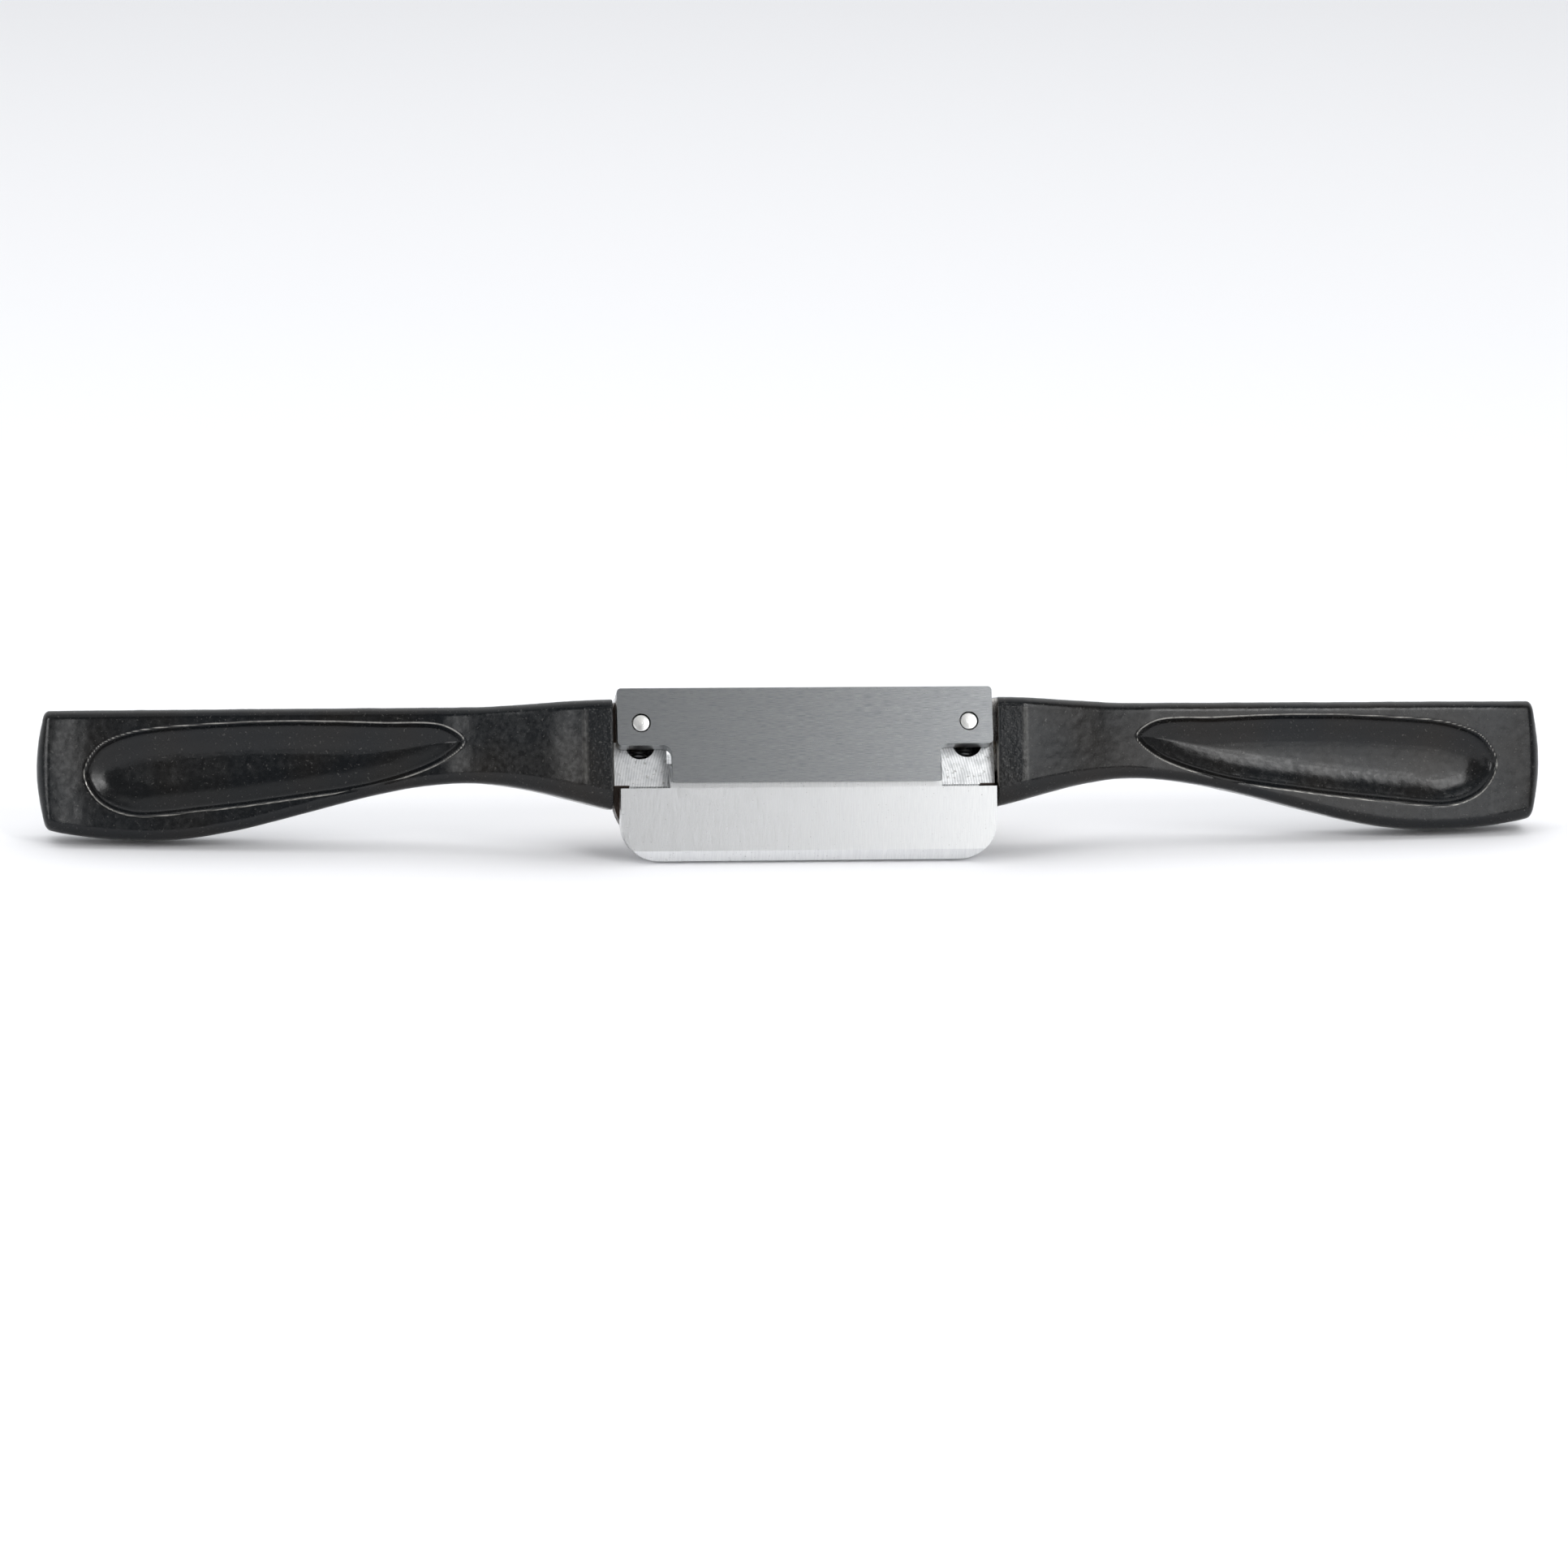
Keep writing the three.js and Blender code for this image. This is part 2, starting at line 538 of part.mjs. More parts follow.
function lowerEdge(x) {
  if (x < NECK_X) {
    const t = (NECK_X - x) / (NECK_X - ROOT_X);
    return NECK_BOTTOM - (NECK_BOTTOM - ROOT_BOTTOM) * t ** 2 * (1 + ROOT_BELLY * (1 - t));
  }
  if (x < gripX()) {
    return NECK_BOTTOM - (NECK_BOTTOM - GRIP_BOTTOM) * smooth((x - NECK_X) / (gripX() - NECK_X));
  }
  return GRIP_BOTTOM + (END_BOTTOM - GRIP_BOTTOM) * ((x - gripX()) / GRIP_INSET) ** 2;
}

const upperEdge = (x) => ROOT_TOP - (ROOT_TOP - NECK_TOP) * smooth((x - ROOT_X) / (NECK_X - ROOT_X));
const sweepLine = (x) => SWEEP_DEPTH + SWEEP_SLOPE * (x - NECK_X);

function sweepShare(x) {
  const t = THREE.MathUtils.clamp((x - ROOT_X - ROOT_STRIP) / (SWEEP_END - ROOT_X - ROOT_STRIP), 0, 1);
  return THREE.MathUtils.lerp(smooth(t), t * (2 - t), SWEEP_CREASE);
}

const frontDepth = (x) => ROOT_SETBACK + (sweepLine(x) - ROOT_SETBACK) * sweepShare(x);

function backDepth(x) {
  const root = ROOT_SETBACK + ROOT_THICKNESS;
  return root + (sweepLine(x) + GRIP_THICKNESS - root) * sweepShare(x);
}

// One cross-section of a handle, with rounded edges, drawn in by `inset` all round.
function handleRing(x, inset, side) {
  const [y0, y1] = [frontDepth(x) + inset, backDepth(x) - inset];
  const [z0, z1] = [lowerEdge(x) + inset, upperEdge(x) - inset];
  const limit = 0.45 * Math.min(y1 - y0, z1 - z0);
  const edge = (root, grip) => {
    const radius = THREE.MathUtils.lerp(root, grip, sweepShare(x)) - inset;
    return Math.min(Math.max(radius, 0.4), limit);
  };
  const lower = edge(ROOT_LOWER_RADIUS, GRIP_LOWER_RADIUS);
  const upper = edge(FRONT_EDGE_RADIUS, FRONT_EDGE_RADIUS);
  const back = edge(ROOT_BACK_RADIUS, BACK_EDGE_RADIUS);
  const corners = [[y0 + lower, z0 + lower, lower, 180], [y1 - back, z0 + back, back, 270],
    [y1 - back, z1 - back, back, 0], [y0 + upper, z1 - upper, upper, 90]];
  const steps = 5;
  const section = corners.flatMap(([y, z, radius, start]) => Array.from({ length: steps + 1 }, (_, i) => {
    const angle = THREE.MathUtils.degToRad(start + (90 * i) / steps);
    return [y + radius * Math.cos(angle), z + radius * Math.sin(angle)];
  }));
  const between = (from, to) =>
    [0.25, 0.5, 0.75].map((t) => [from[0], THREE.MathUtils.lerp(from[1], to[1], t)]);
  const half = section.length / 2;
  const whole = [...section.slice(0, half), ...between(section[half - 1], section[half]),
    ...section.slice(half), ...between(section.at(-1), section[0])];
  const sag = END_SAG * Math.max(0, 1 - (END_X - x) / END_SAG_RUN) ** 2;
  const pulledIn = (z) => sag * ((2 * z - z0 - z1) / (z1 - z0)) ** 2;
  return whole.map(([y, z]) => new THREE.Vector3(side * (x - pulledIn(z)), y, z));
}

function handleRings(side) {
  const rings = [];
  const step = 3.2;
  const count = Math.ceil((END_X - END_RADIUS - ROOT_X) / step);
  for (let i = 0; i < count; i++) {
    rings.push(handleRing(ROOT_X + (i * (END_X - END_RADIUS - ROOT_X)) / count, 0, side));
  }
  for (const degrees of [0, 30, 60, 90]) {
    const angle = THREE.MathUtils.degToRad(degrees);
    const inset = END_RADIUS * (1 - Math.cos(angle));
    rings.push(handleRing(END_X - END_RADIUS + END_RADIUS * Math.sin(angle), inset, side));
  }
  return rings;
}

// The finger recess: a teardrop with its wide end outward. Each point is [share of the length from the wide
// end, height], going round once.
function recessCurve() {
  const wide = END_X - RECESS_INSET;
  const length = wide - RECESS_TIP_X;
  const points = [[0, 15], [0.035, 19.3], [0.12, 21.7], [0.32, 23], [0.55, 23.4], [0.78, 23], [0.95, 22.4],
    [1, 19.9], [0.95, 16.8], [0.78, 12.9], [0.55, 10.6], [0.32, 8.9], [0.12, 8.2], [0.035, 10.7]];
  const knots = points.map(([share, z]) => new THREE.Vector3(wide - share * length, 0, z));
  return new THREE.CatmullRomCurve3(knots, true, 'centripetal');
}

function recessCutter(side) {
  const count = 60;
  const curve = recessCurve();
  const outline = curve.getSpacedPoints(count).slice(0, count);
  const ringAt = (inset, depth) => outline.map((point, i) => {
    const tangent = outline[(i + 1) % count].clone().sub(outline[(i + count - 1) % count]).normalize();
    const x = point.x - inset * tangent.z;
    const z = point.z + inset * tangent.x;
    return new THREE.Vector3(side * x, sweepLine(x) + depth, z);
  });
  return loft([ringAt(0, -2), ringAt(0, 0.25), ringAt(RECESS_WALL * 0.45, RECESS_DEPTH * 0.75),
    ringAt(RECESS_WALL, RECESS_DEPTH)]);
}

const lugFront = () => fromIron(BACK, zOnPlane(BACK, LUG_TOP))[0] + GAP;
const lugScrewZ = () => (LUG_TOP + LUG_BOTTOM) / 2;

// The lug that laps behind the centre block, with its two screw holes.
function handleLug(side) {
  const [inner, outer] = [side * (ROOT_X - LUG_LENGTH), side * (ROOT_X + LUG_REACH)];
  return box(Math.min(inner, outer), Math.max(inner, outer), lugFront(), lugFront() + LUG_THICKNESS,
    LUG_BOTTOM, LUG_TOP);
}

function handle(word, side) {
  const grip = loft(handleRings(side));
  const holes = LUG_SCREW_XS.map((x) => rodY(side * x, lugScrewZ(), LUG_SCREW + 2 * GAP, 0, 30));
  const body = grip.add(handleLug(side)).subtract(recessCutter(side));
  return named(`${word}_handle`, cutAll(body, holes), enamel);
}

function handleScrews(word, side) {
  const seat = lugFront() + LUG_THICKNESS + GAP;
  const tip = lugFront() - GAP - LUG_SCREW_BITE;
  return LUG_SCREW_XS.map((x, i) => slottedScrew(`${word}_handle_screw_${['inner', 'outer'][i]}`, side * x,
    lugScrewZ(), tip, seat, LUG_SCREW, LUG_SCREW_HEAD, LUG_SCREW_HEAD_HEIGHT));
}

// ---- the tool, leaned back on its toe and grips -------------------------------------------------------
function lowestUnder(mesh, lean) {
  const position = mesh.geometry.attributes.position;
  let low = Infinity;
  for (let i = 0; i < position.count; i++) {
    low = Math.min(low, position.getZ(i) * Math.cos(lean) - position.getY(i) * Math.sin(lean));
  }
  return low;
}

// The angle at which a piece in front and a piece behind reach the floor together.
function restingLean(frontPiece, backPiece) {
  let [low, high] = [0, Math.PI / 4];
  for (let i = 0; i < 30; i++) {
    const lean = (low + high) / 2;
    if (lowestUnder(backPiece, lean) > lowestUnder(frontPiece, lean)) low = lean;
    else high = lean;
  }
  return low;
}

const tool = new THREE.Group();
const toe = toeShoe();
const handles = SIDES.map(([word, side]) => handle(word, side));
tool.add(centreBlock(), toe, ...toeFasteners(), ironGroup(), ...handles,
  ...SIDES.flatMap(([word, side]) => handleScrews(word, side)));
tool.rotation.x = -restingLean(toe, handles[0]);

const part = new THREE.Group();
part.add(tool);
part.updateMatrixWorld(true);
const bounds = new THREE.Box3().setFromObject(part, true);
tool.position.set(0, -(bounds.min.y + bounds.max.y) / 2, -bounds.min.z);
part.updateMatrixWorld(true);

export default part;
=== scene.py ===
"""Dresses a two-handled plane: steel block, T-shaped iron, ground toe and enamelled handles."""

import json
import logging
import math
from dataclasses import dataclass
from enum import Enum

import bmesh
import bpy
import numpy as np
from mathutils import Matrix, Vector, noise


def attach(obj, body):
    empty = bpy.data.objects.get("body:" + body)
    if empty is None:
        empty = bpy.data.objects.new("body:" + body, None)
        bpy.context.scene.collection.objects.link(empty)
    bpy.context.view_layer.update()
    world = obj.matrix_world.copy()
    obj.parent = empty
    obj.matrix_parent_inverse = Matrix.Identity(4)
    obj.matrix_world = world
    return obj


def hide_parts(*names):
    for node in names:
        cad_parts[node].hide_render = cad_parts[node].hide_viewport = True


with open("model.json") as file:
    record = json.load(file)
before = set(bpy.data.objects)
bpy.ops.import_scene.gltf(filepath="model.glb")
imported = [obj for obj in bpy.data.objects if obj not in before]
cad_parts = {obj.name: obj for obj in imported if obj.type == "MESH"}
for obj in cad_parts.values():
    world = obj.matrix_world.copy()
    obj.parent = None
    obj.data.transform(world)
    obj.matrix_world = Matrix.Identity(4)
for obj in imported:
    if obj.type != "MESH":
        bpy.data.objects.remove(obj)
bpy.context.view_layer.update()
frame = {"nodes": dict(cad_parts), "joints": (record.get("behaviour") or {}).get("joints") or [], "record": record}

log = logging.getLogger("plane")
MM = 0.001
SEED = 7
JOIN_WITHIN = 0.004  # corners of the CAD's loose triangles closer than this are one, in millimetres
FLAT_WITHIN = 1.5  # CAD faces that turn less than this are one flat, in degrees

WAVES = 3.15  # how often a Wave texture of scale 1 repeats in a unit, nearly
Ramp = tuple[float, float, float, float]  # a Map Range's ends: from low, from high, to low, to high


class Side(Enum):
    """The two ends of the tool, as seen from its sole."""

    LEFT = -1
    RIGHT = 1

    @property
    def word(self) -> str:
        """The side's name, as the nodes are named."""
        return self.name.lower()


# ---- helpers ------------------------------------------------------------------------------------------
def hex_colour(code: str) -> tuple[float, float, float, float]:
    """Turns an sRGB hex colour to linear light.

    Args:
        code: the colour, as six hex digits.

    Returns:
        Red, green, blue and full opacity, for a shader socket.
    """
    parts = [int(code[i:i + 2], 16) / 255 for i in (0, 2, 4)]
    return (*(c / 12.92 if c <= 0.04045 else ((c + 0.055) / 1.055) ** 2.4 for c in parts), 1.0)


def feed(tree: bpy.types.NodeTree, node: bpy.types.Node, inputs: dict | tuple) -> None:
    """Sets or links a node's inputs.

    Args:
        tree: the tree that the node is in.
        node: the node.
        inputs: for each input, by name or number, a value, the socket that feeds it, or the node whose
            first output does. A tuple gives the first inputs in their order.
    """
    for key, value in (enumerate(inputs) if isinstance(inputs, tuple) else inputs.items()):
        value = value.outputs[0] if isinstance(value, bpy.types.Node) else value
        if isinstance(value, bpy.types.NodeSocket):
            tree.links.new(value, node.inputs[key])
        else:
            node.inputs[key].default_value = value


def add(tree: bpy.types.NodeTree, kind: str, inputs: dict | tuple = (), **settings) -> bpy.types.Node:
    """Adds a node with its settings and links.

    Args:
        tree: the tree that it goes in.
        kind: the node's type.
        inputs: its inputs, as feed takes them.
        **settings: the node's own properties.

    Returns:
        The new node.
    """
    node = tree.nodes.new(kind)
    for key, value in settings.items():
        setattr(node, key, value)
    feed(tree, node, inputs)
    return node


def span(node: str, place: Matrix) -> tuple[Vector, Vector]:
    """Measures a CAD node in a local frame.

    Args:
        node: the node's name.
        place: the matrix from that frame, in millimetres, to the model's.

    Returns:
        The lowest and highest corners in millimetres.
    """
    back = place.inverted()
    points = np.array([back @ v.co for v in frame["nodes"][node].data.vertices])
    return Vector(points.min(0)), Vector(points.max(0))


@dataclass(frozen=True)
class Places:
    """The frames that the pieces are drawn in, in millimetres.

    In the tool's frame x runs along the handles, y back from the sole and z up from the toe's lower edge.
    The iron's frame starts at the cutting edge, with z up the iron.
    """

    tool: Matrix
    iron: Matrix

    @classmethod
    def from_frame(cls) -> "Places":
        """Works both frames out from the sole mount and the iron's slide.

        Returns:
            The two frames.
        """
        sole_mark = Vector((0, 0, 6.8))  # the point of the sole that the mount states
        record = frame["record"]
        mount = next(m for m in record["mounts"] if m["name"] == "sole")
        lean = math.asin(mount["axis"][2])
        turn = Matrix.Rotation(-lean, 4, "X") @ Matrix.Scale(MM, 4)
        tool = Matrix.Translation(Vector(mount["pos_m"]) - turn @ sole_mark) @ turn
        feed = next(j for j in frame["joints"] if j["name"] == "iron_feed")
        edge = span("iron", tool)[0].z
        tilt = math.asin(feed["axis"][1]) - lean
        return cls(tool, tool @ Matrix.Translation((0, 0, edge)) @ Matrix.Rotation(-tilt, 4, "X"))


class Axis(Enum):
    """Which way a turned piece's own z axis points in the frame that it is placed in."""

    BACK = Matrix.Rotation(-math.pi / 2, 4, "X")
    UP = Matrix.Identity(4)


@dataclass(frozen=True)
class Seat:
    """Where a turned piece's foot stands, and the piece's size, as its CAD node gives them."""

    x: float
    y: float
    z: float
    radius: float
    length: float
    place: Matrix

    @classmethod
    def of(cls, node: str, base: Matrix, axis: Axis = Axis.BACK) -> "Seat":
        """Measures a CAD node.

        Args:
            node: the node's name.
            base: the matrix from the frame that it is placed in to the model's.
            axis: which way it points in that frame.

        Returns:
            Its seat, with the matrix from the piece's own frame to the model's.
        """
        low, high = span(node, base)
        back = axis is Axis.BACK
        foot = ((low.x + high.x) / 2, low.y if back else (low.y + high.y) / 2,
                (low.z + high.z) / 2 if back else low.z)
        length = high.y - low.y if back else high.z - low.z
        return cls(*foot, (high.x - low.x) / 2, length, base @ Matrix.Translation(foot) @ axis.value)


def object_of(name: str, shape: bmesh.types.BMesh) -> bpy.types.Object:
    """Makes an object of a bmesh.

    Args:
        name: the object's name.
        shape: the shape, which is freed.

    Returns:
        The object, in the scene.
    """
    mesh = bpy.data.meshes.new(name)
    shape.to_mesh(mesh)
    shape.free()
    piece = bpy.data.objects.new(name, mesh)
    bpy.context.scene.collection.objects.link(piece)
    return piece


def bake_modifiers(piece: bpy.types.Object) -> None:
    """Turns a piece's evaluated shape into its own plain mesh.

    Args:
        piece: the piece, whose modifiers are removed.
    """
    shaped = piece.evaluated_get(bpy.context.evaluated_depsgraph_get())
    mesh = bpy.data.meshes.new_from_object(shaped)
    piece.modifiers.clear()
    piece.data = mesh


def soften(
    piece: bpy.types.Object, width: float, angle: float = 34, segments: int = 2, blended: bool = True
) -> None:
    """Rounds a piece's edges.

    Args:
        piece: the piece, in millimetres.
        width: the width of the rounding.
        angle: the least angle of an edge that is rounded, in degrees.
        segments: the rounding's steps.
        blended: whether the shading blends over the rounding, with the flats kept flat.
    """
    piece.data.shade_smooth()
    edge = piece.modifiers.new("edges", "BEVEL")
    edge.width = width
    edge.segments = segments
    edge.limit_method = "ANGLE"
    edge.angle_limit = math.radians(angle)
    edge.use_clamp_overlap = True
    edge.harden_normals = blended
    if blended:
        flats = piece.modifiers.new("flats", "WEIGHTED_NORMAL")
        flats.keep_sharp = True
        flats.weight = 100
    bake_modifiers(piece)


def cut(piece: bpy.types.Object, *cutters: bpy.types.Object) -> None:
    """Cuts shapes out of a piece, and throws the cutters away.

    Args:
        piece: the piece.
        *cutters: the shapes that are cut out.
    """
    for cutter in cutters:
        hole = piece.modifiers.new("cut", "BOOLEAN")
        hole.object = cutter
        hole.solver = "EXACT"
        bake_modifiers(piece)
        bpy.data.objects.remove(cutter)


def drill(piece: bpy.types.Object, seat: Seat, radius: float, start: float, end: float, sides: int) -> None:
    """Drills a hole through a piece from front to back.

    Args:
        piece: the piece.
        seat: what gives the hole's centre.
        radius: the hole's radius.
        start: the depth where it starts.
        end: the depth where it ends.
        sides: the number of its sides.
    """
    hole = turned_shape([(0, start), (radius, start), (radius, end), (0, end)], sides)
    hole.transform(Matrix.Translation((seat.x, 0, seat.z)) @ Axis.BACK.value)
    cut(piece, object_of("hole", hole))


def block_shape(low: Vector, high: Vector) -> bmesh.types.BMesh:
    """Makes a block between two corners.

    Args:
        low: the lowest corner.
        high: the highest corner.

    Returns:
        The closed shape.
    """
    shape = bmesh.new()
    middle = Matrix.Translation((low + high) / 2)
    bmesh.ops.create_cube(shape, size=1, matrix=middle @ Matrix.Diagonal((*(high - low), 1)))
    return shape


def turned_shape(profile: list[tuple[float, float]], sides: int, looped: bool = False) -> bmesh.types.BMesh:
    """Turns a profile round the z axis.

    Args:
        profile: points as radius and height. A radius of 0 is a pole.
        sides: the number of sides.
        looped: whether the profile closes on itself, as a ring's does.

    Returns:
        The closed shape.
    """
    shape = bmesh.new()
    rings = []
    for radius, height in profile:
        if radius == 0:
            rings.append([shape.verts.new((0, 0, height))] * sides)
            continue
        turns = (2 * math.pi * i / sides for i in range(sides))
        rings.append([shape.verts.new((radius * math.cos(a), radius * math.sin(a), height)) for a in turns])
    pairs = list(zip(rings, rings[1:] + rings[:1] if looped else rings[1:]))
    for lower, upper in pairs:
        for i in range(sides):
            corners = [lower[i], lower[(i + 1) % sides], upper[(i + 1) % sides], upper[i]]
            shape.faces.new(list(dict.fromkeys(corners)))
    bmesh.ops.recalc_face_normals(shape, faces=shape.faces)
    return shape


def merge_into(piece: bpy.types.Object, other: bpy.types.Object) -> None:
    """Adds another object's mesh to a piece, and throws the other object away.

    Args:
        piece: the piece that grows.
        other: the object that goes into it.
    """
    shape = bmesh.new()
    shape.from_mesh(piece.data)
    shape.from_mesh(other.data)
    shape.to_mesh(piece.data)
    shape.free()
    bpy.data.objects.remove(other)


def cad_copy(name: str, node: str, place: Matrix) -> bpy.types.Object:
    """Copies a CAD node's shape into a local frame, with its loose triangles joined.

    Args:
        name: the new piece's name.
        node: the CAD node.
        place: the matrix from the local frame to the model's.

    Returns:
        The copy, in millimetres.
    """
    shape = bmesh.new()
    shape.from_mesh(frame["nodes"][node].data)
    shape.transform(place.inverted())
    bmesh.ops.remove_doubles(shape, verts=shape.verts, dist=JOIN_WITHIN)
    flat = math.radians(FLAT_WITHIN)
    bmesh.ops.dissolve_limit(shape, angle_limit=flat, verts=shape.verts, edges=shape.edges)
    piece = object_of(name, shape)
    if piece.data.has_custom_normals:
        piece.data.attributes.remove(piece.data.attributes["custom_normal"])
    return piece


def hand_over(
    piece: bpy.types.Object, place: Matrix, body: str, nodes: tuple[str, ...],
    finish: bpy.types.Material, sharp: float = 32,
) -> bpy.types.Object:
    """Puts a finished piece in its place and ties it to the model.

    Its coordinates in its own frame, in millimetres, are kept in the attribute "own", which its finish
    follows.

    Args:
        piece: the piece, in millimetres in its own frame.
        place: the matrix from its frame to the model's.
        body: the body that it rides on.
        nodes: the CAD nodes that it stands for.
        finish: its material.
        sharp: the angle past which an edge is shaded sharp, in degrees.

    Returns:
        The piece.
    """
    mesh = piece.data
    flat = np.empty(len(mesh.vertices) * 3, np.float32)
    mesh.vertices.foreach_get("co", flat)
    own = mesh.attributes.new("own", "FLOAT_VECTOR", "POINT")
    own.data.foreach_set("vector", flat)
    mesh.transform(place)
    if not mesh.has_custom_normals:
        mesh.shade_smooth()
        mesh.set_sharp_from_angle(angle=math.radians(sharp))
    mesh.materials.clear()
    mesh.materials.append(finish)
    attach(piece, body)
    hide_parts(*nodes)
    mesh.calc_loop_triangles()
    log.info("%s on %s: %d triangles", piece.name, body, len(mesh.loop_triangles))
    return piece


# ---- geometry node trees ------------------------------------------------------------------------------
def new_tree(name: str, sizes: dict[str, float | int]) -> bpy.types.GeometryNodeTree:
    """Starts a geometry node tree with named sizes and a finish.

    Args:
        name: the tree's name.
        sizes: its inputs and their usual values.

    Returns:
        The tree, with its group input and output nodes.
    """
    tree = bpy.data.node_groups.new(name, "GeometryNodeTree")
    for key, value in sizes.items():
        kind = "NodeSocketInt" if isinstance(value, int) else "NodeSocketFloat"
        tree.interface.new_socket(key, in_out="INPUT", socket_type=kind).default_value = value
    tree.interface.new_socket("Finish", in_out="INPUT", socket_type="NodeSocketMaterial")
    tree.interface.new_socket("Geometry", in_out="OUTPUT", socket_type="NodeSocketGeometry")
    add(tree, "NodeGroupInput")
    return tree


def end_tree(
    tree: bpy.types.GeometryNodeTree, geometry: bpy.types.Node
) -> bpy.types.GeometryNodeTree:
    """Ends a tree in Realize Instances and Set Material.

    Args:
        tree: the tree.
        geometry: the node that gives its shape.

    Returns:
        The tree.
    """
    real = add(tree, "GeometryNodeRealizeInstances", (geometry,))
    finish = tree.nodes["Group Input"].outputs["Finish"]
    dressed = add(tree, "GeometryNodeSetMaterial", {"Geometry": real, "Material": finish})
    add(tree, "NodeGroupOutput", (dressed,))
    return tree


def grow(name: str, tree: bpy.types.GeometryNodeTree, **values: float | int) -> bpy.types.Object:
    """Runs a tree once and keeps the result as a plain mesh.

    Args:
        name: the object's name.
        tree: the tree.
        **values: its inputs, by name with the spaces as underscores.

    Returns:
        The object, in millimetres.
    """
    piece = object_of(name, bmesh.new())
    rule = piece.modifiers.new("rule", "NODES")
    rule.node_group = tree
    for item in tree.interface.items_tree:
        key = item.name.replace(" ", "_")
        if item.in_out == "INPUT" and key in values:
            rule[item.identifier] = values[key]
    bake_modifiers(piece)
    return piece


def helix_tree() -> bpy.types.GeometryNodeTree:
    """Makes the tree of a wire wound in a helix: a spring's coil, or the ridge of a thread.

    Returns:
        The tree.
    """
    tree = new_tree("helix", {"Turns": 3.0, "Radius": 1.5, "Height": 2.0, "Wire": 0.25, "Wire Sides": 8})
    given = tree.nodes["Group Input"].outputs
    path = add(tree, "GeometryNodeCurveSpiral", {
        "Resolution": 20, "Rotations": given["Turns"], "Start Radius": given["Radius"],
        "End Radius": given["Radius"], "Height": given["Height"]})
    section = add(tree, "GeometryNodeCurvePrimitiveCircle", {
        "Resolution": given["Wire Sides"], "Radius": given["Wire"]})
    wire = add(tree, "GeometryNodeCurveToMesh", {
        "Curve": path, "Profile Curve": section, "Fill Caps": True})
    return end_tree(tree, wire)


def knurl_tree() -> bpy.types.GeometryNodeTree:
    """Makes the tree of a straight knurl: upright ridges set round a rim.

    Returns:
        The tree.
    """
    tree = new_tree("knurl", {"Teeth": 28, "Radius": 4.2, "Tooth": 0.6, "Length": 4.0})
    given = tree.nodes["Group Input"].outputs
    rim = add(tree, "GeometryNodeMeshCircle", {"Vertices": given["Teeth"], "Radius": given["Radius"]})
    size = add(tree, "ShaderNodeCombineXYZ", (given["Tooth"], given["Tooth"], given["Length"]))
    ridge = add(tree, "GeometryNodeMeshCube", {"Size": size})
    turned = add(tree, "GeometryNodeTransform", {"Geometry": ridge, "Rotation": (0, 0, math.radians(45))})
    outward = add(tree, "FunctionNodeAlignRotationToVector", {
        "Vector": add(tree, "GeometryNodeInputPosition")}, axis="X", pivot_axis="Z")
    teeth = add(tree, "GeometryNodeInstanceOnPoints", {
        "Points": rim, "Instance": turned, "Rotation": outward})
    return end_tree(tree, teeth)


# ---- finishes -----------------------------------------------------------------------------------------
class Finish:
    """What every finish shares: a Principled shader, patterned on the piece's own millimetres."""

    name: str

    def start(self) -> tuple[bpy.types.NodeTree, bpy.types.NodeSocket]:
        """Starts the material.

        Returns:
            Its tree, and the piece's own coordinates.
        """
        material = bpy.data.materials.new(self.name)
        material.use_nodes = True
        tree = material.node_tree
        own = add(tree, "ShaderNodeAttribute", attribute_name="own", attribute_type="GEOMETRY")
        return tree, own.outputs["Vector"]

    def end(self, tree: bpy.types.NodeTree, inputs: dict) -> bpy.types.Material:
        """Feeds the shader.

        Args:
            tree: the material's tree.
            inputs: the shader's inputs.

        Returns:
            The material.
        """
        feed(tree, tree.nodes["Principled BSDF"], inputs)
        return bpy.data.materials[self.name]


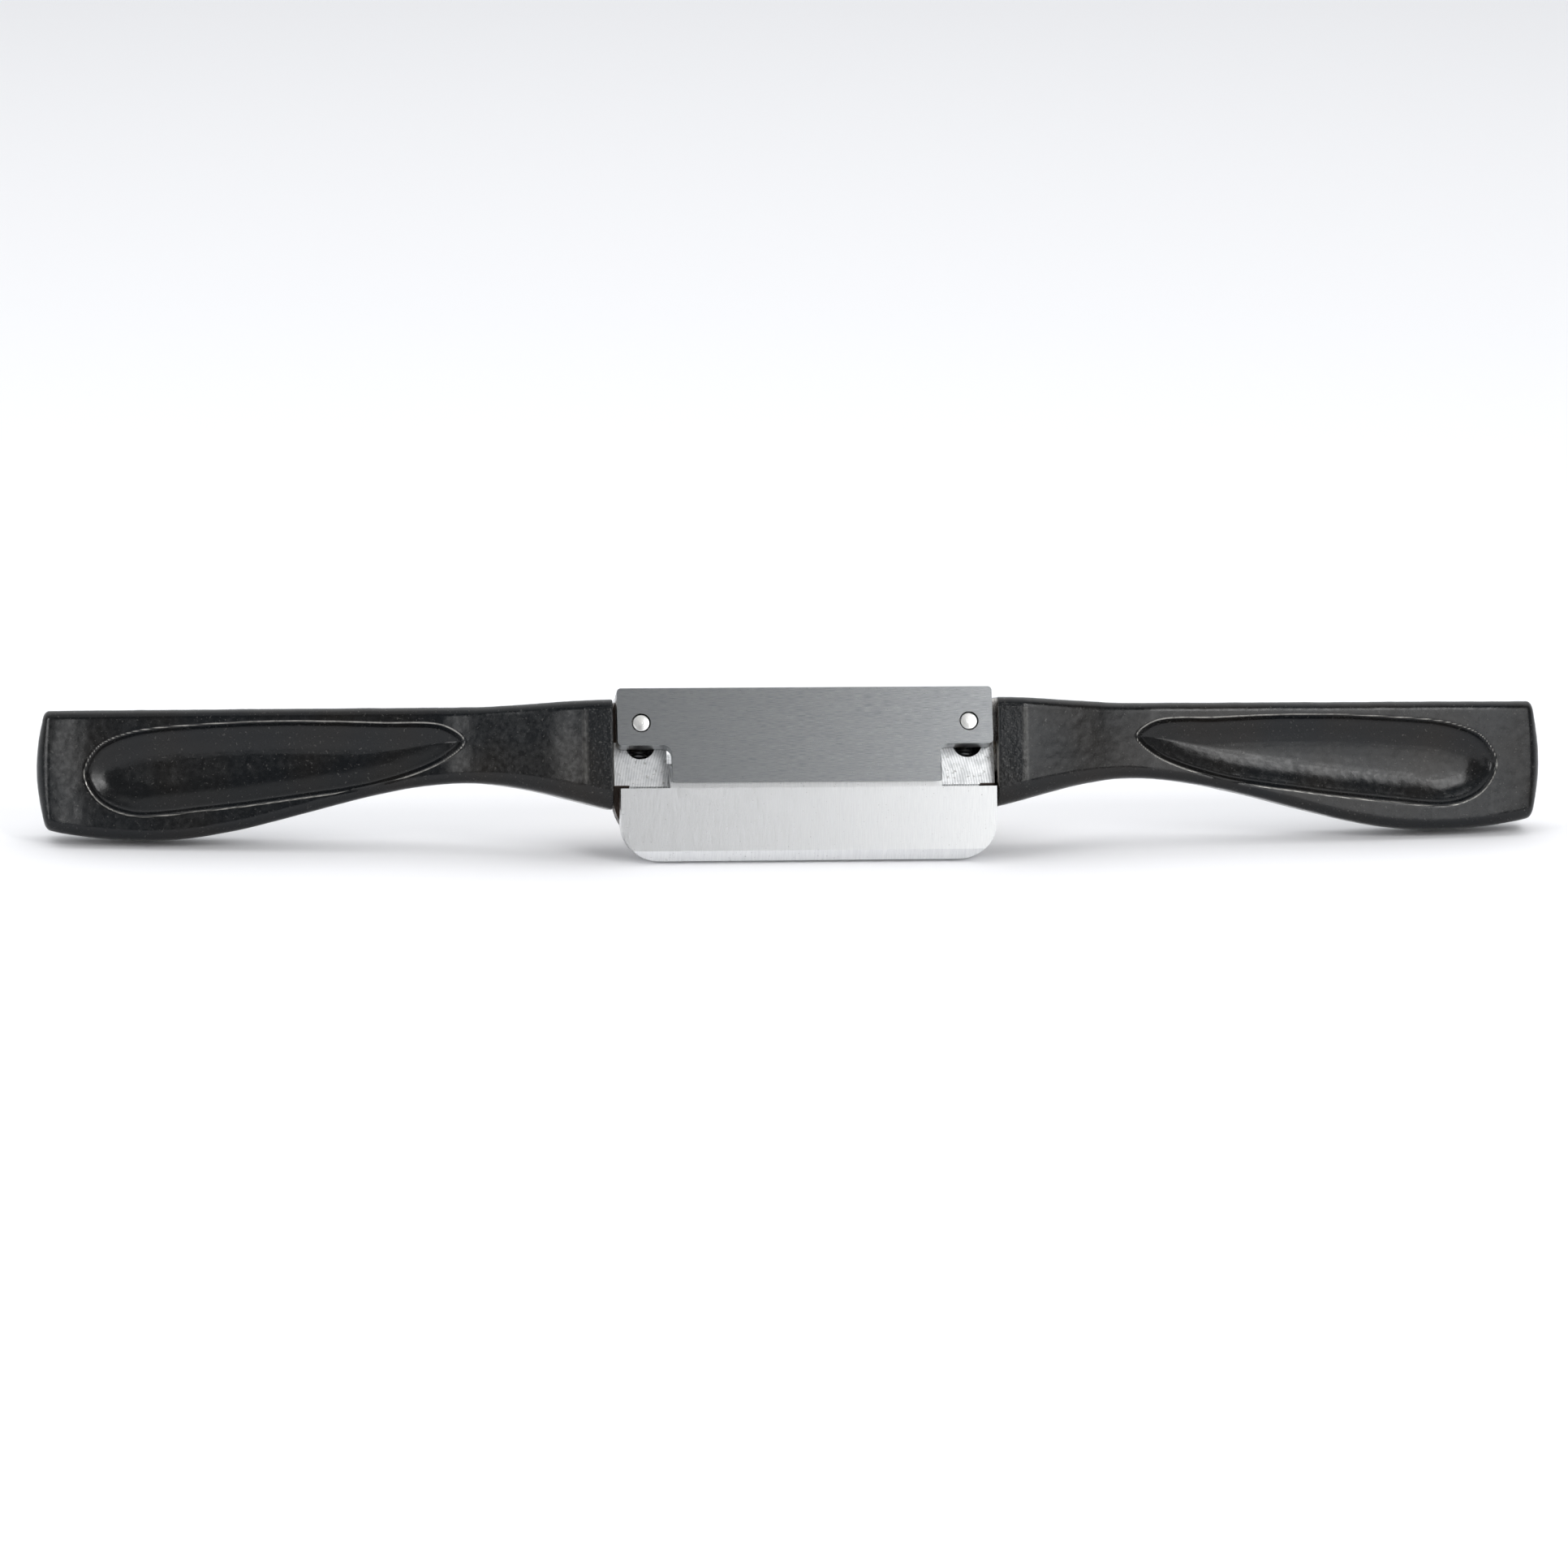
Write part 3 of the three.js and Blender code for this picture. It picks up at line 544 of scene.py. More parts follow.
@dataclass(frozen=True)
class SandCastEnamel(Finish):
    """Stove enamel over sand-cast iron: near black, glossy, with the sand's grain showing through.

    Along the recess's rim and on the ridge at the root, patchy lines of pale grey iron show: partly wear,
    partly a painted highlight where those edges catch light. It is rougher and chipped on the root's strip,
    and the root's end face is bare.
    """

    name: str = "stove_enamel_on_cast_iron"
    colour: str = "0a0d10"
    warm: str = "15120f"
    iron: str = "a5a39e"
    bare_iron: str = "8d8578"
    roughness: float = 0.21
    strip_roughness: float = 0.32
    ior: float = 1.5
    gloss: float = 0.32
    worn_metal: float = 0.5
    # sizes of the patterns, and how deep the bumps are
    cloud: float = 14
    pebble: float = 0.8
    sand: float = 0.34
    chip: float = 1 / 1.2
    grit: float = 1 / 2.8
    crust: float = 1 / 1.4
    pebble_depth: float = 0.009
    crust_depth: float = 0.14
    sand_depth: float = 0.006
    # where the worn lines with their painted highlight fade, and how far the chips break them up
    rim_half_width: float = 0.13
    rim_fade: tuple[float, float] = (0.45, 1.3)
    ridge_fade: tuple[float, float] = (0.1, 0.75)
    rim_wear_highlight: Ramp = (0.28, 0.55, 0.25, 0.7)
    ridge_wear_highlight: Ramp = (0.3, 0.7, 0.03, 0.16)
    faint: Ramp = (0.4, 0.7, 0.02, 0.12)
    grit_floor: tuple[float, float] = (0.75, 0.66)
    warmed: Ramp = (0.4, 0.75, 0, 1)

    def build(self) -> bpy.types.Material:
        """Builds the material.

        Returns:
            The material.
        """
        tree, own = self.start()
        cloud, pebbles, sand, chips, grit, crust = (
            add(tree, "ShaderNodeTexNoise", {"Vector": own, "Scale": 1 / size, "Detail": detail})
            for size, detail in ((self.cloud, 1), (self.pebble, 1), (self.sand, 2), (self.chip, 3),
                                 (self.grit, 0), (self.crust, 3)))
        rim, ridge, bare, strip = (
            add(tree, "ShaderNodeAttribute", attribute_name=name).outputs["Fac"]
            for name in ("rim", "ridge", "bare", "strip"))

        # worn lines, partly painted highlight: along the rim rubbed nearly through, at the ridge only thinned
        rim_fade = (self.rim_half_width * share for share in self.rim_fade)
        lines = []
        for distance, fade, line_ramp in ((rim, rim_fade, self.rim_wear_highlight), (ridge, self.ridge_fade, self.ridge_wear_highlight)):
            near = add(tree, "ShaderNodeMapRange", (distance, *fade, 1, 0), interpolation_type="SMOOTHSTEP")
            patchy = add(tree, "ShaderNodeMapRange", (chips, *line_ramp))
            lines.append(add(tree, "ShaderNodeMath", (near, patchy), operation="MULTIPLY"))
        wear_and_highlight = add(tree, "ShaderNodeMath", tuple(lines), operation="MAXIMUM")

        # pale specks of grit: a few everywhere, many on the rough strip
        floor = add(tree, "ShaderNodeMapRange", (strip, 0, 1, *self.grit_floor))
        dots = add(tree, "ShaderNodeMath", (grit, floor), operation="GREATER_THAN")
        faint = add(tree, "ShaderNodeMapRange", (chips, *self.faint))
        dots = add(tree, "ShaderNodeMath", (dots, faint), operation="MULTIPLY")
        shown = add(tree, "ShaderNodeMath", (wear_and_highlight, dots), operation="MAXIMUM")

        colour = hex_colour(self.colour)
        warmth = add(tree, "ShaderNodeMapRange", (cloud, *self.warmed))
        for share, layer in ((warmth, self.warm), (shown, self.iron), (bare, self.bare_iron)):
            colour = add(tree, "ShaderNodeMix", {0: share, 6: colour, 7: hex_colour(layer)},
                         data_type="RGBA").outputs[2]
        # the worn lines with their painted highlight are made partly metallic
        metal = add(tree, "ShaderNodeMath", (wear_and_highlight, self.worn_metal), operation="MULTIPLY")
        metal = add(tree, "ShaderNodeMath", (metal, bare), operation="MAXIMUM")
        rough = add(tree, "ShaderNodeMapRange", (
            pebbles, 0.3, 0.7, self.roughness - 0.05, self.roughness + 0.07))
        strip_rough = add(tree, "ShaderNodeMath", (strip, self.strip_roughness), operation="MULTIPLY")
        rough = add(tree, "ShaderNodeMath", (rough, strip_rough), operation="MAXIMUM")

        crust = add(tree, "ShaderNodeMath", (strip, crust), operation="MULTIPLY")
        normal = {}
        for height, depth in (
                (pebbles, self.pebble_depth), (crust, self.crust_depth), (sand, self.sand_depth)):
            bump = add(tree, "ShaderNodeBump", {"Height": height, "Distance": depth * MM, **normal})
            normal = {"Normal": bump}
        return self.end(tree, {"Base Color": colour, "Metallic": metal, "Roughness": rough, "IOR": self.ior,
                               "Specular IOR Level": self.gloss, **normal})


@dataclass(frozen=True)
class GroundSteel(Finish):
    """Bare steel, ground one way: fine parallel lines that stretch the highlights, and a few dark pits."""

    name: str
    colour: str
    dark: str
    roughness: float
    line: tuple[float, float, float]
    long_line: tuple[float, float, float]
    long_share: float = 0.15
    depth: float = 0.004
    darkened: Ramp = (0.36, 0.64, 0, 1)
    pit: float = 1 / 3.3
    pit_colour: str = "55524d"
    pitted: Ramp = (0.76, 0.82, 0.0, 0.3)

    def build(self) -> bpy.types.Material:
        """Builds the material.

        Returns:
            The material.
        """
        tree, own = self.start()
        mix: dict = {0: self.long_share}
        for key, sizes, detail in ((2, self.line, 3), (3, self.long_line, 1)):
            scale = tuple(1 / size for size in sizes)
            along = add(tree, "ShaderNodeMapping", {"Vector": own, "Scale": scale})
            mix[key] = add(tree, "ShaderNodeTexNoise", {"Vector": along, "Scale": 1.0, "Detail": detail})
        lines = add(tree, "ShaderNodeMix", mix)
        tone = add(tree, "ShaderNodeMapRange", (lines, *self.darkened))
        pits = add(tree, "ShaderNodeTexNoise", {"Vector": own, "Scale": 1 / self.pit, "Detail": 0.0})
        pits = add(tree, "ShaderNodeMapRange", (pits, *self.pitted))
        colour = hex_colour(self.colour)
        for share, layer in ((tone, self.dark), (pits, self.pit_colour)):
            colour = add(tree, "ShaderNodeMix", {0: share, 6: colour, 7: hex_colour(layer)},
                         data_type="RGBA").outputs[2]
        rough = add(tree, "ShaderNodeMapRange", (
            lines, 0.3, 0.7, self.roughness - 0.04, self.roughness + 0.06))
        normal = add(tree, "ShaderNodeBump", {"Height": lines, "Distance": self.depth * MM})
        return self.end(tree, {"Base Color": colour, "Metallic": 1, "Roughness": rough, "Normal": normal})


@dataclass(frozen=True)
class MilledSteel(Finish):
    """Bare milled steel: faint arcs left by the cutter, a few stains, and painted shade in the slots and on the
    block's sides.
    """

    places: Places
    name: str = "milled_steel"
    colour: str = "dbdcdd"
    dull: str = "b4b6b8"
    stain: str = "6f6d68"
    # the colour painted where shade falls
    shade_colour: str = "2a1b11"
    roughness: float = 0.4
    # how metallic the faces with painted shade stay
    oily_metal: float = 0.3
    # the cutter's arcs, the smears over them, and the stains
    arc_pitch: float = 0.44
    cutter_radius: float = 9.0
    smear: float = 1 / 0.9
    smear_share: float = 0.75
    smear_depth: float = 0.006
    dulled: Ramp = (0.35, 0.65, 0, 1)
    spot: float = 1 / 1.7
    stained: Ramp = (0.6, 0.7, 0.0, 0.6)
    # where the painted shade lies
    slot_half_width: float = 2.9
    slot_drop: float = 1.3
    slot_half_height: float = 5.0
    slot_setback: float = 0.05
    slot_margin: float = 0.5
    side_skin: float = 0.06
    edge_skin: float = 0.5
    ear_height: float = 19.4
    foot_top: float = 12.4
    foot_width: float = 2.5

    def build(self) -> bpy.types.Material:
        """Builds the material.

        Returns:
            The material.
        """
        tree, own = self.start()
        swirl = add(tree, "ShaderNodeMapping", {"Vector": own, "Location": (0, 0, -self.cutter_radius)})
        arcs = add(tree, "ShaderNodeTexWave", {
            "Vector": swirl, "Scale": 1 / (self.arc_pitch * WAVES), "Distortion": 3.0, "Detail": 2.0,
            "Detail Scale": 0.35}, wave_type="RINGS", rings_direction="Y")
        smear, spots = (
            add(tree, "ShaderNodeTexNoise", {"Vector": own, "Scale": 1 / size, "Detail": detail})
            for size, detail in ((self.smear, 4), (self.spot, 3)))
        lines = add(tree, "ShaderNodeMix", {0: self.smear_share, 2: arcs.outputs["Fac"], 3: smear})
        tone = add(tree, "ShaderNodeMapRange", (lines, *self.dulled))
        spots = add(tree, "ShaderNodeMapRange", (spots, *self.stained))
        # painted shade: dark and less metallic in the slots, on the block's sides and at its foot's corners
        shade_mask = self.hidden_faces(tree, own)
        colour = hex_colour(self.colour)
        for share, layer in ((tone, self.dull), (spots, self.stain), (shade_mask, self.shade_colour)):
            colour = add(tree, "ShaderNodeMix", {0: share, 6: colour, 7: hex_colour(layer)},
                         data_type="RGBA").outputs[2]
        metal = add(tree, "ShaderNodeMapRange", (shade_mask, 0, 1, 1.0, self.oily_metal))
        rough = add(tree, "ShaderNodeMapRange", (
            lines, 0.3, 0.7, self.roughness - 0.05, self.roughness + 0.08))
        normal = add(tree, "ShaderNodeBump", {"Height": smear, "Distance": self.smear_depth * MM})
        return self.end(tree, {
            "Base Color": colour, "Metallic": metal, "Roughness": rough, "Normal": normal})

    def hidden_faces(self, tree: bpy.types.NodeTree, own: bpy.types.NodeSocket) -> bpy.types.Node:
        """Marks where shade is painted dark: the slots' walls, the block's sides, and its foot's corners.

        Args:
            tree: the material's tree.
            own: the piece's own coordinates.

        Returns:
            The node that gives 1 on those faces and 0 elsewhere.
        """
        to_iron = self.places.iron.inverted() @ self.places.tool
        turned = add(tree, "ShaderNodeMapping", {
            "Vector": own, "Location": to_iron.to_translation(), "Rotation": to_iron.to_euler()})
        along = add(tree, "ShaderNodeSeparateXYZ", (turned,)).outputs
        across = add(tree, "ShaderNodeMath", (along["X"],), operation="ABSOLUTE")
        stud = Seat.of("right_blade_stud", self.places.iron)
        face = span("iron", self.places.iron)[1].y
        back = span("right_clamp_washer", self.places.iron)[0].y
        inside = 1.0
        for value, middle, half in (
                (across, stud.x, self.slot_half_width),
                (along["Z"], stud.z - self.slot_drop, self.slot_half_height),
                (along["Y"], (face + back) / 2 + self.slot_setback, (back - face) / 2 - self.slot_margin)):
            near = add(tree, "ShaderNodeMath", (value, middle, half), operation="COMPARE")
            inside = add(tree, "ShaderNodeMath", (near, inside), operation="MULTIPLY")
        height = add(tree, "ShaderNodeSeparateXYZ", (own,)).outputs["Z"]
        upper = add(tree, "ShaderNodeMath", (height, self.ear_height), operation="GREATER_THAN")
        edge = span("centre_block", self.places.tool)[1].x
        start = add(tree, "ShaderNodeMapRange", (upper, 0, 1, edge - self.side_skin, edge - self.edge_skin))
        side_shade = add(tree, "ShaderNodeMath", (across, start), operation="GREATER_THAN")
        foot = add(tree, "ShaderNodeMath", (height, self.foot_top), operation="LESS_THAN")
        outer = add(tree, "ShaderNodeMath", (across, edge - self.foot_width), operation="GREATER_THAN")
        foot = add(tree, "ShaderNodeMath", (foot, outer), operation="MULTIPLY")
        side_shade = add(tree, "ShaderNodeMath", (side_shade, foot), operation="MAXIMUM")
        return add(tree, "ShaderNodeMath", (inside, side_shade), operation="MAXIMUM")


@dataclass(frozen=True)
class TurnedMetal(Finish):
    """Metal turned on a lathe: rings round the piece's axis, each a fine groove, and a little tarnish."""

    name: str
    colour: str
    tarnish: str
    roughness: float
    ring_pitch: float = 0.32
    ring_depth: float = 0.008
    cloud: float = 1 / 0.55
    tarnished: Ramp = (0.5, 0.75, 0.0, 0.6)

    def build(self) -> bpy.types.Material:
        """Builds the material.

        Returns:
            The material.
        """
        tree, own = self.start()
        rings = add(tree, "ShaderNodeTexWave", {
            "Vector": own, "Scale": 1 / (self.ring_pitch * WAVES), "Distortion": 0.6, "Detail": 1.0},
            wave_type="RINGS", rings_direction="SPHERICAL")
        cloud = add(tree, "ShaderNodeTexNoise", {"Vector": own, "Scale": 1 / self.cloud, "Detail": 3.0})
        colour = add(tree, "ShaderNodeMix", {
            0: add(tree, "ShaderNodeMapRange", (cloud, *self.tarnished)),
            6: hex_colour(self.colour), 7: hex_colour(self.tarnish)}, data_type="RGBA").outputs[2]
        rough = add(tree, "ShaderNodeMapRange", (
            cloud, 0.3, 0.7, self.roughness - 0.05, self.roughness + 0.1))
        normal = add(tree, "ShaderNodeBump", {
            "Height": rings.outputs["Fac"], "Distance": self.ring_depth * MM})
        return self.end(tree, {"Base Color": colour, "Metallic": 1, "Roughness": rough, "Normal": normal})


@dataclass(frozen=True)
class Finishes:
    """The materials of all the pieces."""

    enamel: bpy.types.Material
    milled: bpy.types.Material
    toe: bpy.types.Material
    blade: bpy.types.Material
    bright: bpy.types.Material
    fastener: bpy.types.Material
    brass: bpy.types.Material

    @classmethod
    def build(cls, places: Places) -> "Finishes":
        """Builds every finish once.

        Args:
            places: the frames that the pieces are drawn in.

        Returns:
            The finishes.
        """
        return cls(
            enamel=SandCastEnamel().build(),
            milled=MilledSteel(places).build(),
            # surface-ground mild steel: upright grinding lines, almost white in a bright room
            toe=GroundSteel(
                "surface_ground_steel", "ebecec", "dedfe0", 0.32, (0.14, 3, 2.6), (0.9, 5, 7)).build(),
            # hardened tool steel ground along its width: greyer, with level lines
            blade=GroundSteel(
                "ground_tool_steel", "9fa1a2", "7e8083", 0.3, (1.6, 2, 0.07), (7, 3, 0.9)).build(),
            # turned bright bar: rings on the stud tips
            bright=TurnedMetal("turned_bright_steel", "f2f2f0", "cfcdc8", 0.3).build(),
            # plain bright steel fasteners, a little dulled
            fastener=TurnedMetal("dull_fastener_steel", "8a8c8e", "5b5954", 0.36).build(),
            # turned and knurled free-cutting brass, lightly tarnished
            brass=TurnedMetal("turned_brass", "d2ab57", "96753a", 0.26).build(),
        )


# ---- sub-assemblies -----------------------------------------------------------------------------------
@dataclass
class Carrier:
    """The centre block, the toe shoe and the screws and dowels that join them."""

    places: Places
    finishes: Finishes
    block_edge: float = 0.2
    toe_edge: float = 0.14
    slot_up: float = 0.8
    slot_down: float = 2.85
    slot_radius: float = 2.47
    slot_run: tuple[float, float] = (1.0, 20.0)
    slot_steps: int = 28
    head_relief: float = 0.15
    head_slot_width: float = 0.8
    head_slot_share: float = 0.45
    screw_edge: float = 0.12
    lead: float = 0.3

    def block(self) -> None:
        """Builds the centre block."""
        piece = cad_copy("carrier_block", "centre_block", self.places.tool)
        for side in Side:
            cut(piece, self.slot(side))
        soften(piece, self.block_edge, blended=False)
        hand_over(piece, self.places.tool, "frame", ("centre_block",),
                  self.finishes.milled, sharp=20)

    def slot(self, side: Side) -> bpy.types.Object:
        """Draws the slot that a stud runs in, with truly round ends.

        Args:
            side: which end of the tool it is on.

        Returns:
            The slot's shape, in the tool's frame.
        """
        stud = Seat.of(f"{side.word}_blade_stud", self.places.iron)
        shape = bmesh.new()
        rings = []
        for y in self.slot_run:
            ring = []
            for start, height in ((0, self.slot_up), (180, -self.slot_down)):
                for i in range(self.slot_steps + 1):
                    angle = math.radians(start + 180 * i / self.slot_steps)
                    x, z = self.slot_radius * math.cos(angle), self.slot_radius * math.sin(angle)
                    ring.append(shape.verts.new((stud.x + x, y, stud.z + height + z)))
            rings.append(ring)
            shape.faces.new(ring)
        for i in range(len(rings[0])):
            j = (i + 1) % len(rings[0])
            shape.faces.new([rings[0][i], rings[0][j], rings[1][j], rings[1][i]])
        bmesh.ops.recalc_face_normals(shape, faces=shape.faces)
        shape.transform(self.places.tool.inverted() @ self.places.iron)
        return object_of("slot", shape)

    def toe(self) -> None:
        """Builds the toe shoe."""
        piece = cad_copy("toe_plate", "toe_shoe", self.places.tool)
        soften(piece, self.toe_edge)
        hand_over(piece, self.places.tool, "frame", ("toe_shoe",), self.finishes.toe)

    def slotted_screw(self, name: str, node: str, shank: float, head_height: float) -> None:
        """Builds a cheese-head screw that points to the sole.

        Args:
            name: the piece's name.
            node: the CAD node that gives its place and size.
            shank: the shank's diameter.
            head_height: the head's height.
        """
        at = Seat.of(node, self.places.tool)
        head, shank, length = at.radius - self.head_relief, shank / 2, at.length
        seat = length - head_height
        profile = [(0, 0), (shank - self.lead, 0), (shank, self.lead), (shank, seat), (head, seat),
                   (head, length), (0, length)]
        piece = object_of(name, turned_shape(profile, 40))
        top = Vector((head + 1, self.head_slot_width / 2, length + 1))
        bottom = Vector((-head - 1, -self.head_slot_width / 2, length - head_height * self.head_slot_share))
        cut(piece, object_of("slot", block_shape(bottom, top)))
        soften(piece, self.screw_edge, 50)
        hand_over(piece, at.place, "frame", (node,), self.finishes.fastener)

    def dowel(self, node: str) -> None:
        """Builds a dowel with rounded ends.

        Args:
            node: the CAD node that gives its place and size.
        """
        at = Seat.of(node, self.places.tool)
        radius, length, lead = at.radius, at.length, self.lead
        profile = [(0, 0), (radius - lead, 0), (radius, lead), (radius, length - lead),
                   (radius - lead, length), (0, length)]
        piece = object_of(f"{node}_pin", turned_shape(profile, 32))
        hand_over(piece, at.place, "frame", (node,), self.finishes.fastener)

    def build(self) -> None:
        """Builds the block, the toe and what joins them."""
        self.block()
        self.toe()
        for side in Side:
            self.slotted_screw(f"{side.word}_toe_fixing", f"{side.word}_toe_screw", 3.4, 2.2)
            self.dowel(f"{side.word}_toe_dowel")
            for which in ("inner", "outer"):
                node = f"{side.word}_handle_screw_{which}"
                self.slotted_screw(f"{side.word}_lug_fixing_{which}", node, 3.0, 2.0)


@dataclass
class IronCarriage:
    """The iron with its two studs, the washers behind the block, the nuts, and what moves the iron."""

    places: Places
    finishes: Finishes
    iron_edge: float = 0.12
    tip_diameter: float = 2.7
    tip_clearance: float = 0.22
    thread_pitch: float = 0.7
    thread_depth: float = 0.36  # as a share of the pitch
    knurl_teeth: int = 28
    collar_height: float = 1.7
    set_screw_pitch: float = 0.5
    socket_width: float = 1.5
    wire_sides: int = 8

    def __post_init__(self) -> None:
        """Builds the two trees that the threads, springs and nuts share."""
        self.helix = helix_tree()
        self.knurl = knurl_tree()

    def iron(self) -> None:
        """Builds the iron."""
        piece = cad_copy("cutting_iron", "iron", self.places.iron)
        for side in Side:
            stud = Seat.of(f"{side.word}_blade_stud", self.places.iron)
            drill(piece, stud, self.tip_diameter / 2 + self.tip_clearance, -2, 8, 72)
        soften(piece, self.iron_edge, 20)
        hand_over(piece, self.places.iron, "iron_carriage", ("iron",), self.finishes.blade)

    def thread(self, radius: float, start: float, length: float, pitch: float) -> bpy.types.Object:
        """Grows the ridge of a thread.

        Args:
            radius: the thread's outer radius.
            start: where it starts along the axis.
            length: its length.
            pitch: its pitch.

        Returns:
            The ridge.
        """
        ridge = pitch * 0.5
        piece = grow("ridge", self.helix, Turns=length / pitch, Radius=radius - ridge * 0.72,
                     Height=length, Wire=ridge * 0.7, Wire_Sides=4)
        piece.data.transform(Matrix.Translation((0, 0, start)))
        return piece

    def stud(self, side: Side) -> None:
        """Builds a stud: a plain tip that fills the iron's hole, and a threaded shank.

        Args:
            side: which end of the tool it is on.
        """
        node = f"{side.word}_blade_stud"
        at = Seat.of(node, self.places.iron)
        length, shank, tip = at.length, at.radius, self.tip_diameter / 2
        shoulder = span("iron", self.places.iron)[1].y + 0.3 - at.y
        plain = Seat.of(f"{side.word}_clamp_washer", self.places.iron).y - at.y
        core = shank - self.thread_pitch * self.thread_depth
        dome = [(0, -0.1), (tip * 0.35, -0.085), (tip * 0.7, -0.04)]
        profile = [*dome, (tip - 0.1, 0.02), (tip, 0.12), (tip, shoulder), (shank - 0.1, shoulder),
                   (shank, shoulder + 0.1), (shank, plain), (core, plain), (core, length - 0.2),
                   (core - 0.3, length), (0, length)]
        piece = object_of(f"{side.word}_stud", turned_shape(profile, 48))
        run = length - plain - 0.5
        merge_into(piece, self.thread(shank, plain + 0.25, run, self.thread_pitch))
        hand_over(piece, at.place, "iron_carriage", (node,), self.finishes.bright)

    def ring(self, name: str, node: str, bore: float, split: float = 0) -> None:
        """Builds a washer, or a split spring washer whose ends stand a little apart.

        Args:
            name: the piece's name.
            node: the CAD node that gives its place and size.
            bore: the bore's radius.
            split: the width of the split, or 0.
        """
        at = Seat.of(node, self.places.iron)
        outer, thick = at.radius, at.length
        profile = [(bore, 0), (outer, 0), (outer, thick), (bore, thick)]
        piece = object_of(name, turned_shape(profile, 64, looped=True))
        if split:
            bottom, top = Vector((-split / 2, -outer - 1, -1)), Vector((split / 2, 0, thick + 1))
            cut(piece, object_of("split", block_shape(bottom, top)))
        soften(piece, 0.1, 50)
        hand_over(piece, at.place, "iron_carriage", (node,), self.finishes.fastener)

    def nut(self, side: Side, bore: float) -> None:
        """Builds a knurled clamp nut.

        Args:
            side: which end of the tool it is on.
            bore: the bore's radius.
        """
        node = f"{side.word}_clamp_nut"
        at = Seat.of(node, self.places.iron)
        outer, height = at.radius, at.length
        tooth, collar, lead = 0.62, 3.3, 0.35
        body = outer - 0.36
        profile = [(bore + 0.25, 0), (collar - 0.2, 0), (collar, 0.2), (collar, self.collar_height),
                   (body - lead, self.collar_height), (body, self.collar_height + lead),
                   (body, height - lead), (body - lead, height), (bore + 0.3, height),
                   (bore, height - 0.3), (bore, 0.25)]
        piece = object_of(f"{side.word}_knurled_nut", turned_shape(profile, 84, looped=True))
        rise = height - self.collar_height - 2 * lead
        teeth = grow("teeth", self.knurl, Teeth=self.knurl_teeth, Radius=outer - tooth * 0.707 - 0.1,
                     Tooth=tooth, Length=rise)
        teeth.data.transform(Matrix.Translation((0, 0, self.collar_height + lead + rise / 2)))
        merge_into(piece, teeth)
        hand_over(piece, at.place, f"{side.word}_nut", (node,), self.finishes.brass)

    def depth_screw(self, side: Side) -> None:
        """Builds a set screw with a hexagon socket.

        Args:
            side: which end of the tool it is on.
        """
        node = f"{side.word}_depth_screw"
        at = Seat.of(node, self.places.iron, Axis.UP)
        length, socket = at.length, self.socket_width / 2
        core = at.radius - self.set_screw_pitch * self.thread_depth
        profile = [(0, 0), (core - 0.3, 0), (core, 0.3), (core, length - 0.15), (core - 0.15, length),
                   (0, length)]
        piece = object_of(f"{side.word}_set_screw", turned_shape(profile, 36))
        hexagon = [(0, length * 0.6), (socket, length * 0.6), (socket, length + 1), (0, length + 1)]
        cut(piece, object_of("socket", turned_shape(hexagon, 6)))
        merge_into(piece, self.thread(at.radius, 0.4, length - 0.8, self.set_screw_pitch))
        hand_over(piece, at.place, f"{side.word}_screw", (node,), self.finishes.fastener)

    def spring(self, side: Side) -> None:
        """Builds a lift spring.

        Args:
            side: which end of the tool it is on.
        """
        node = f"{side.word}_lift_spring"
        at = Seat.of(node, self.places.iron, Axis.UP)
        wire, turns = 0.22, 2.5
        piece = grow(f"{side.word}_spring", self.helix, Turns=turns, Radius=at.radius - wire,
                     Height=at.length - 2 * wire, Wire=wire, Wire_Sides=self.wire_sides)
        place = at.place @ Matrix.Translation((0, 0, wire))
        hand_over(piece, place, "frame", (node,), self.finishes.fastener)

    def build(self) -> None:
        """Builds the iron and everything that holds or moves it."""
        self.iron()
        for side in Side:
            bore = Seat.of(f"{side.word}_blade_stud", self.places.iron).radius + 0.3
            self.stud(side)
            self.ring(f"{side.word}_washer", f"{side.word}_clamp_washer", bore)
            self.ring(f"{side.word}_split_washer", f"{side.word}_spring_washer", bore, 0.7)
            self.nut(side, bore)
            self.depth_screw(side)
            self.spring(side)


